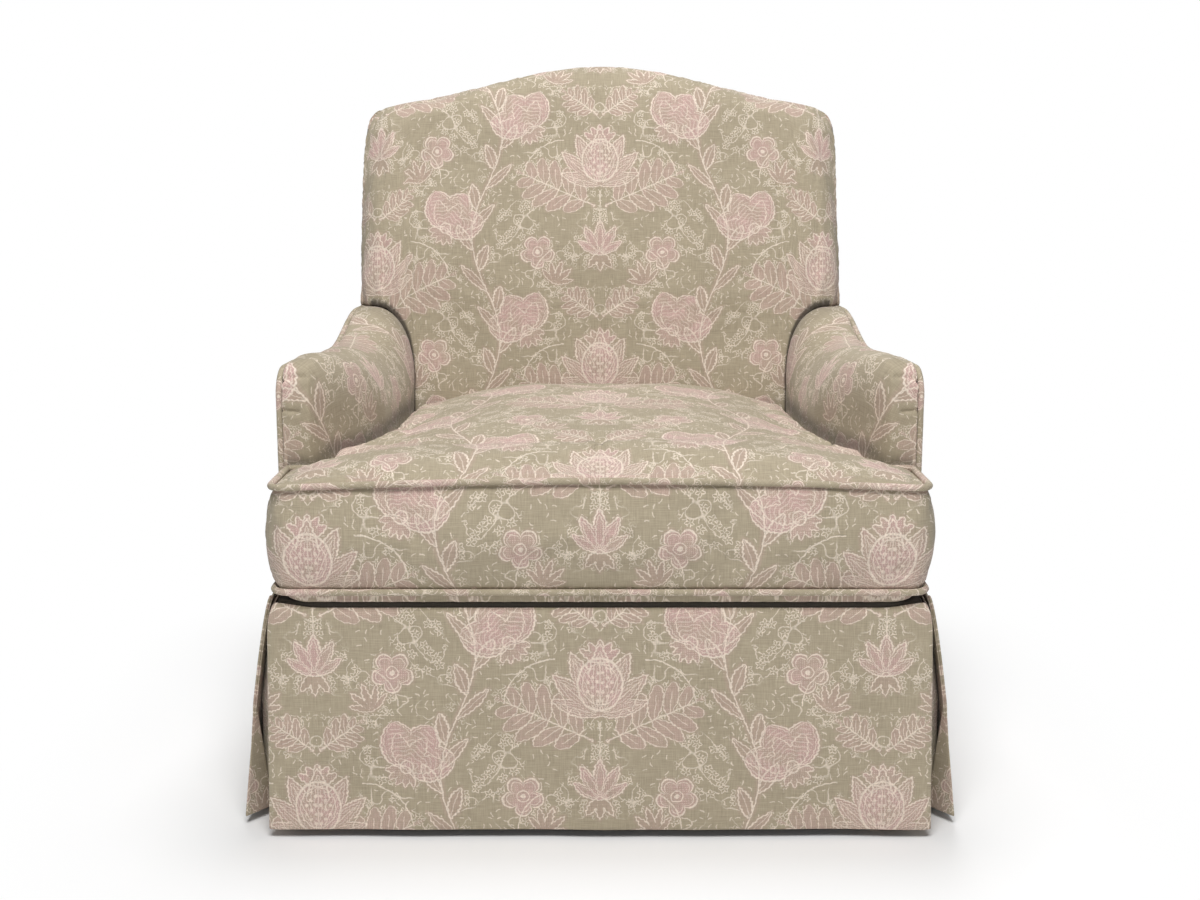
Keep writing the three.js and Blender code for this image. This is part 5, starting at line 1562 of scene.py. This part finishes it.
def add_arm_outside(name, side, linen):
    """The outside of an arm: each column runs from the foot up to the welt line."""
    edge = evenly(arm_edge(FACE_INSET), 0.0065)
    end = float(edge[-1, 0])
    foot_end = float(rear_plane(PANEL_FOOT))
    foot = np.where(edge[:, 0] < CROWN_START, edge[:, 0],
                    CROWN_START + (edge[:, 0] - CROWN_START) * (foot_end - CROWN_START) / (end - CROWN_START))
    t = np.linspace(0, 1, 48)[:, None]
    d = foot + (edge[:, 0] - foot) * t
    z = PANEL_FOOT + (edge[:, 1] - PANEL_FOOT) * t
    dish = 0.0022 * np.sin(math.pi * t) * np.sin(math.pi * np.linspace(0, 1, len(edge)))
    face = points(side * (body_half(d) - 0.0044 - dish), d, z)
    cloth = np.stack([d + 0.08, z], axis=-1)
    panel = hang_sheet(name + "_outside_arm", face, (side, 0, 0), COVER_THICKNESS, cloth, linen,
                       name + "_outside_arm_panel")
    rumple(panel, 0.0006, 0.18, 40 + side)


# Skirt


def hang_height(share):
    """Height of the skirt at a share of the way down it."""
    return SKIRT_TOP + (SKIRT_HEM - SKIRT_TOP) * share


def fold_share(share):
    """0 down to the foot of the rails, then evenly to 1 at the hem: how far a pleat may fall back."""
    rail = (SKIRT_TOP - RAIL_FOOT) / (SKIRT_TOP - SKIRT_HEM)
    return np.clip((share - rail) / (1 - rail), 0, 1)


def cross_half(d, share):
    """Half the width of the front or rear panel: it widens quickly under its top, then evenly."""
    return body_half(d) - 0.008 + 0.014 * (0.6 * (1 - np.exp(-share / 0.05)) + 0.4 * share)


def side_face(d, share, kick):
    """Half the width between the side panels: they stand out further towards their ends, by a square, and
    further down, by a power of the share."""
    t = 2 * d / BASE_DEPTH - 1
    out = SIDE_FLARE + (kick - SIDE_FLARE) * t * t
    return body_half(d) + out * share ** 0.75


def wave(along, share, depth, seed):
    """Slow upright waves that grow towards the hem."""
    phase = np.random.default_rng(seed).uniform(0, 2 * math.pi, 4)
    size = (0.31, 0.19, 0.113, 0.47)
    weight = (0.5, 0.32, 0.2, 0.5)
    total = sum(w * np.sin(2 * math.pi * along / s + p) for w, s, p in zip(weight, size, phase))
    return depth * total * share ** 1.4


def hem_band(height):
    """The hem's turned-up band stands out by half a millimetre."""
    return 0.0005 * smooth((HEM_BAND + SKIRT_HEM - height) / 0.003)


def add_cross_panel(name, node, front, linen):
    """The front or rear skirt panel: flat across and leaning out towards the hem. Its top is lowered and tucked
    in, which fades away down it, so that a gap stays under the cushion."""
    share = np.linspace(0, 1, 70)[:, None]
    t = np.concatenate([np.linspace(-1, -0.97, 9), np.linspace(-0.97, 0.97, 131)[1:-1], np.linspace(0.97, 1, 9)])
    edge = 0.0 if front else BASE_DEPTH
    half = cross_half(edge, share)
    x = t * half
    lowered = FRONT_DROP * smooth((half - np.abs(x)) / 0.050) if front else REAR_DROP
    height = hang_height(share) - lowered * (1 - share) ** 12
    tucked = SKIRT_TUCK * np.exp(-share / 0.014)
    kick = FRONT_KICK if front else REAR_KICK
    turned_in = 0.0022 * np.exp(-(half - np.abs(x)) / 0.004)
    out = kick * share + wave(x, share, 0.0016, 51 if front else 52) + hem_band(height) - turned_in
    sign = -1 if front else 1
    face = points(x, edge + sign * (np.maximum(out, -0.0012) - tucked), height)
    cloth = np.stack(np.broadcast_arrays(x * -sign, height), axis=-1)
    hang_sheet(name, face, (0, sign, 0), SKIRT_THICKNESS, cloth, linen, node)


def side_path(share, kick):
    """A side panel in plan for each share down it, from the end of its front return round to the end of its
    rear return. A return runs in and back from the panel's edge, further towards the hem."""
    d = np.concatenate([np.linspace(RETURN_START, RETURN_END, 6),
                        np.linspace(RETURN_END, BASE_DEPTH - RETURN_END, 82)[1:-1],
                        np.linspace(BASE_DEPTH - RETURN_END, BASE_DEPTH - RETURN_START, 6)])
    x = side_face(d, share, kick) + wave(d, share, 0.0018, 61)
    fold = fold_share(share) ** 0.9
    go = np.linspace(1, 0, 12)[:-1]
    back = np.linspace(0, 1, 12)[1:]
    deep = 0.0030 + 0.0330 * fold
    wide = 0.0014 + 0.0246 * fold
    front_x, front_d = x[:, :1] - wide * go, RETURN_START + deep * go
    rear_x, rear_d = x[:, -1:] - wide * back, BASE_DEPTH - RETURN_START - deep * back
    path_x = np.concatenate([front_x, x, rear_x], axis=1)
    path_d = np.concatenate([front_d, np.broadcast_to(d, x.shape), rear_d], axis=1)
    for path in (path_x, path_d) * 3:
        path[:, 1:-1] = (path[:, :-2] + 2 * path[:, 1:-1] + path[:, 2:]) / 4
    return path_x, path_d


def add_side_panel(name, side, form, linen):
    """A side skirt panel with the returns at its two ends."""
    share = np.linspace(0, 1, 70)[:, None]
    x, d = side_path(share, form.kick)
    height = np.broadcast_to(hang_height(share), x.shape)
    face = points(side * x, d, height)
    cloth = np.stack([run(face, 1) + 0.05, height], axis=-1)
    hang_sheet(name + "_skirt", face, (side, 0, 0), SKIRT_THICKNESS, cloth, linen, name + "_skirt_panel")


def bezier(controls, count):
    """A curve drawn by its control points: each weighs in by its Bernstein polynomial."""
    t = np.linspace(0, 1, count)
    last = len(controls) - 1
    total = 0
    for number, control in enumerate(controls):
        weight = math.comb(last, number) * t ** number * (1 - t) ** (last - number)
        total = total + np.asarray(control) * weight
    return total


def add_insert(name, side, front, form, linen):
    """The cloth behind a corner's opening. In plan it is a Bezier curve from behind the front or rear panel to
    behind the side panel's return. It hugs the rails' corner above and falls back into a fold below them."""
    share = np.linspace(0, 1, 60)[:, None]
    fold = fold_share(share) ** 0.9
    edge = 0.0 if front else BASE_DEPTH
    inward = 1 if front else -1
    face = -(FRONT_KICK if front else REAR_KICK) * share
    cross = cross_half(edge, share)
    start_x, start_e = cross - 0.030, face + 0.0038
    corner_x = float(body_half(edge + inward * 0.0073)) - 0.0036
    side_x = side_face(edge + inward * 0.060, share, form.kick) - 0.0036
    fold_x = side_face(edge + inward * RETURN_START, share, form.kick)
    end_x, end_e = fold_x - 0.026, RETURN_START + 0.036
    run_x, run_e = -0.59, 0.81
    last_x = end_x + 0.0022 - run_x * 0.008
    last_e = end_e + 0.0016 - run_e * 0.008
    low = [(cross - 0.012, face + 0.008), (cross - 0.018, face + 0.040), (cross - 0.012, end_e + 0.006),
           (end_x - 0.010, end_e + 0.016), (last_x + run_x * 0.016, last_e + run_e * 0.016)]
    corner_e, side_e = 0.0043, 0.060
    x = bezier([start_x, *(corner_x + (x - corner_x) * fold for x, _ in low),
                side_x + (last_x - side_x) * fold], 44)
    e = bezier([start_e, *(corner_e + (e - corner_e) * fold for _, e in low),
                side_e + (last_e - side_e) * fold], 44)
    height = np.broadcast_to(hang_height(share) - INSERT_DROP * (1 - share) ** 12, x.shape)
    face_grid = points(side * x, edge + inward * e, height)
    cloth = np.stack([run(face_grid, 1) + 0.21, height], axis=-1)
    where = ("front_" if front else "rear_") + name
    hang_sheet(where + "_pleat_fold", face_grid, (side * 0.5, -inward, 0), INSERT_THICKNESS, cloth, linen,
               where + "_pleat_insert")


# Hidden cloth


def add_deck(cloth_material):
    """The deck under the cushion: the seat's plan with edges rounded by a quarter circle above and below."""
    low, high = (corner[2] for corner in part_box("seat_deck"))
    angle = np.linspace(0, math.pi / 2, 6)
    inset = DECK_ROUND * (1 - np.concatenate([np.sin(angle), np.cos(angle)]))
    height = np.concatenate([low + DECK_ROUND * (1 - np.cos(angle)), high - DECK_ROUND + DECK_ROUND * np.sin(angle)])
    rings = []
    for ring_inset, level in zip(inset, height):
        outline = seat_outline(RAIL_INSET + ring_inset, float(body_half(0)) - RAIL_INSET - ring_inset,
                               0.008, CUSHION_CLEAR + ring_inset, DECK_REAR - ring_inset, 0.012)
        ring = respaced(np.concatenate([outline, outline[:1]]), 240)
        rings.append(points(ring[:, 0], ring[:, 1], level))
    side = np.stack(rings)
    spine = spine_of(side[:1, :, 1] - PLAN_Y) + PLAN_Y
    share = np.linspace(0, 1, 24)[:, None]

    def inward(ring, height_change):
        x = ring[:, 0] * share
        y = spine[0] + (ring[:, 1] - spine[0]) * share
        return np.stack([x, y, np.broadcast_to(ring[:, 2] + height_change * (1 - share ** 2), x.shape)],
                        axis=-1)

    grids = [(grid, np.stack([grid[..., 0], grid[..., 1] + grid[..., 2]], axis=-1))
             for grid in (inward(side[0], 0.0006), side, inward(side[-1], -0.0004))]
    deck = make_piece("deck_cover", grids, cloth_material)
    finish_cloth(deck, "frame", ("seat_deck",))


def add_dust_cover(material):
    """The cloth stretched under the seat, between the rails."""
    low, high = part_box("dust_cover")
    d = np.linspace(low[1] - PLAN_Y, high[1] - PLAN_Y, 70)[:, None]
    half = body_half(d) - (float(body_half(low[1] - PLAN_Y)) - high[0]) - 0.0035
    x = half * np.linspace(-1, 1, 90)
    sag = 0.0006 * np.sin(x * 31) * np.sin(d * 27)
    face = points(x, np.broadcast_to(d, x.shape), low[2] + 0.0004 + np.abs(sag))
    cloth = np.stack([x, np.broadcast_to(d, x.shape)], axis=-1)
    hang_sheet("dust_cloth", face, (0, 0, -1), 0.0010, cloth, material, "dust_cover")


def add_webs(material):
    """Three webs stretched across the back's posts, each a flat band along the leaning back."""
    for number in (1, 2, 3):
        node = "back_web_%d" % number
        low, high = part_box(node)
        x, z = np.meshgrid(np.linspace(low[0], high[0], 160), np.linspace(low[2], high[2], 14))
        face = points(x, rear_plane(z) - WEB_DEPTH, z)
        cloth = np.stack([x, z], axis=-1)
        hang_sheet("back_strap_%d" % number, face, (0, -1, 0), 0.0016, cloth, material, node)


# Studio


def mixed_shaders(tree, share, first, second, result):
    """Two shaders mixed by a share, as the tree's result."""
    mix = tree.nodes.new("ShaderNodeMixShader")
    for source, socket in zip((share, first.outputs[0], second.outputs[0]), mix.inputs):
        tree.links.new(source, socket)
    tree.links.new(mix.outputs[0], result.inputs["Surface"])
    lay_out(tree)


def add_floor(studio):
    """A plain floor that keeps the chair's shadow and, seen by the camera, fades to white round it."""
    mesh = bpy.data.meshes.new("floor")
    size = 12.0
    mesh.from_pydata([(-size, -size, 0), (size, -size, 0), (size, size, 0), (-size, size, 0)], [], [(0, 1, 2, 3)])
    floor = link_object("floor", mesh)
    material, tree, shader = blank_material("studio_floor")
    shade = noise_field(tree, object_coordinates(tree), 3.0, 2.0, 0.5) * 0.02 + 0.98
    tree.links.new(blend_colours(tree, 1.0, tuple(studio.floor), shade.source, "MULTIPLY"),
                   shader.inputs["Base Color"])
    shader.inputs["Roughness"].default_value = 0.9
    shader.inputs["Specular IOR Level"].default_value = 0.1
    place = tree.nodes.new("ShaderNodeSeparateXYZ")
    tree.links.new(object_coordinates(tree), place.inputs[0])
    beside = (abs(Field(tree, place.outputs["X"])) - 0.36).high(0.0)
    before = (abs(Field(tree, place.outputs["Y"])) - 0.34).high(0.0)
    far = radius_of(beside, before).step(0.04, 0.42)
    rays = tree.nodes.new("ShaderNodeLightPath")
    seen = Field(tree, rays.outputs["Is Camera Ray"]) * far
    result = next(node for node in tree.nodes if node.type == "OUTPUT_MATERIAL")
    mixed_shaders(tree, seen.source, shader, tree.nodes.new("ShaderNodeEmission"), result)
    mesh.materials.append(material)


def add_sky(studio):
    """Even light from all round, which the camera sees as white."""
    world = bpy.data.worlds.new("studio")
    bpy.context.scene.world = world
    world.use_nodes = True
    tree = world.node_tree
    tree.nodes.clear()
    even, white = tree.nodes.new("ShaderNodeBackground"), tree.nodes.new("ShaderNodeBackground")
    for background, strength in ((even, studio.sky), (white, 1.0)):
        background.inputs["Color"].default_value = (1.0, 1.0, 1.0, 1.0)
        background.inputs["Strength"].default_value = strength
    rays = tree.nodes.new("ShaderNodeLightPath")
    mixed_shaders(tree, rays.outputs["Is Camera Ray"], even, white, tree.nodes.new("ShaderNodeOutputWorld"))


def add_lamps(studio):
    """Soft lamps, all aimed at the middle of the chair."""
    lamps = (("key_lamp", (-0.05, -2.0, 2.95), (1.5, 1.3), studio.key),
             ("top_lamp", (0.0, 0.30, 3.0), (1.1, 0.9), studio.top),
             ("fill_lamp", (0.0, -3.4, 1.1), (1.2, 1.0), studio.fill),
             ("rear_lamp", (0.5, 3.2, 1.9), (1.4, 1.2), studio.rear))
    for name, place, (wide, tall), power in lamps:
        data = bpy.data.lights.new(name, "AREA")
        data.shape = "RECTANGLE"
        data.size = wide
        data.size_y = tall
        data.energy = power
        lamp = link_object(name, data)
        lamp.location = place
        lamp.rotation_euler = (LAMP_AIM - Vector(place)).to_track_quat("-Z", "Y").to_euler()


def add_camera():
    """The photo's camera, as it was solved from the photo's perspective."""
    data = bpy.data.cameras.new("camera")
    data.lens = 48.75
    data.sensor_width = 36.0
    data.dof.use_dof = False
    camera = link_object("camera", data)
    camera.location = (0.0, -2.1968, 0.797)
    camera.rotation_euler = (math.radians(90 - 10.5), 0.0, 0.0)
    bpy.context.scene.camera = camera


# Operators


def shared_cloth(settings):
    """The printed linen and the groups that it is built from, made once."""
    if "linen_weave" not in bpy.data.node_groups:
        weave_group()
    if "flower_print" not in bpy.data.node_groups:
        print_group()
    if "printed_linen" not in bpy.data.materials:
        printed_linen(settings)
    return bpy.data.materials["printed_linen"]


class ARMCHAIR_OT_stage(bpy.types.Operator):
    """Add the floor, the light and the camera"""

    bl_idname = "armchair.stage"
    bl_label = "Studio"

    def execute(self, context):
        studio = context.scene.chair_studio
        context.scene.view_settings.view_transform = "Standard"
        add_floor(studio)
        add_sky(studio)
        add_lamps(studio)
        add_camera()
        return {"FINISHED"}


class ARMCHAIR_OT_back(bpy.types.Operator):
    """Add the inside back, the outside back and the welt round it"""

    bl_idname = "armchair.back"
    bl_label = "Back"

    def execute(self, context):
        linen = shared_cloth(context.scene.chair_cloth)
        add_back(context.scene.chair_form, linen)
        add_back_outside(linen)
        return {"FINISHED"}


class ARMCHAIR_OT_arms(bpy.types.Operator):
    """Add both arms with their welts and outside panels"""

    bl_idname = "armchair.arms"
    bl_label = "Arms"

    def execute(self, context):
        add_arms(context.scene.chair_form, shared_cloth(context.scene.chair_cloth))
        return {"FINISHED"}


class ARMCHAIR_OT_cushion(bpy.types.Operator):
    """Add the loose seat cushion and its two welts"""

    bl_idname = "armchair.cushion"
    bl_label = "Seat cushion"

    def execute(self, context):
        add_cushion(context.scene.chair_form, shared_cloth(context.scene.chair_cloth))
        return {"FINISHED"}


class ARMCHAIR_OT_skirt(bpy.types.Operator):
    """Add the four skirt panels and the pleat inserts behind the corners"""

    bl_idname = "armchair.skirt"
    bl_label = "Skirt"

    def execute(self, context):
        form = context.scene.chair_form
        linen = shared_cloth(context.scene.chair_cloth)
        add_cross_panel("front_skirt", "front_skirt_panel", True, linen)
        add_cross_panel("rear_skirt", "rear_skirt_panel", False, linen)
        for name, side in SIDES:
            add_side_panel(name, side, form, linen)
            for front in (True, False):
                add_insert(name, side, front, form, linen)
        return {"FINISHED"}


class ARMCHAIR_OT_linings(bpy.types.Operator):
    """Add the deck, the dust cover and the webs"""

    bl_idname = "armchair.linings"
    bl_label = "Linings"

    def execute(self, context):
        settings = context.scene.chair_cloth
        shared_cloth(settings)
        add_deck(plain_cloth("deck_linen", tuple(settings.deck), 0.0009))
        add_dust_cover(plain_cloth("dust_linen", (0.030, 0.029, 0.028), 0.0007, contrast=0.4))
        add_webs(plain_cloth("jute_webbing", (0.50, 0.40, 0.26), 0.0016, contrast=0.35))
        return {"FINISHED"}


class ARMCHAIR_OT_frame_finish(bpy.types.Operator):
    """Finish the frame, springs, glides and zip"""

    bl_idname = "armchair.frame_finish"
    bl_label = "Frame finish"

    def execute(self, context):
        wood = beech(context.scene.chair_cloth)
        steel = drawn_wire()
        nylon = moulded_nylon()
        tape = zip_tape()
        for name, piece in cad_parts.items():
            if name.startswith("seat_spring"):
                finish = (steel, "spring_steel")
            elif name.endswith("_glide"):
                finish = (nylon, "glide_plastic")
            elif name == "cushion_zip":
                finish = (tape, "zip_tape")
            elif name.endswith(("_rail", "_foot", "_block", "_board", "_stump", "_post")):
                finish = (wood, "hardwood")
            else:
                continue
            piece.data.materials.clear()
            piece.data.materials.append(finish[0])
        return {"FINISHED"}


class ARMCHAIR_PT_panel(bpy.types.Panel):
    """Lists the steps that upholster the chair"""

    bl_idname = "ARMCHAIR_PT_panel"
    bl_label = "Armchair"
    bl_space_type = "VIEW_3D"
    bl_region_type = "UI"
    bl_category = "Armchair"

    def draw(self, context):
        for step in STEPS:
            self.layout.operator(step.bl_idname)
        for settings in (context.scene.chair_cloth, context.scene.chair_form, context.scene.chair_studio):
            box = self.layout.box()
            for key in settings.bl_rna.properties.keys():
                if key not in ("rna_type", "name"):
                    box.prop(settings, key)


STEPS = (ARMCHAIR_OT_stage, ARMCHAIR_OT_back, ARMCHAIR_OT_arms, ARMCHAIR_OT_cushion, ARMCHAIR_OT_skirt,
         ARMCHAIR_OT_linings, ARMCHAIR_OT_frame_finish)
SETTINGS = {"chair_cloth": ChairCloth, "chair_form": ChairForm, "chair_studio": ChairStudio}


def register():
    for kind in (*SETTINGS.values(), *STEPS, ARMCHAIR_PT_panel):
        bpy.utils.register_class(kind)
    for name, kind in SETTINGS.items():
        setattr(bpy.types.Scene, name, PointerProperty(type=kind))


def unregister():
    for name in SETTINGS:
        delattr(bpy.types.Scene, name)
    for kind in reversed((*SETTINGS.values(), *STEPS, ARMCHAIR_PT_panel)):
        bpy.utils.unregister_class(kind)


def main():
    register()
    bpy.ops.armchair.stage()
    bpy.ops.armchair.back()
    bpy.ops.armchair.arms()
    bpy.ops.armchair.cushion()
    bpy.ops.armchair.skirt()
    bpy.ops.armchair.linings()
    bpy.ops.armchair.frame_finish()


if __name__ == "__main__":
    main()
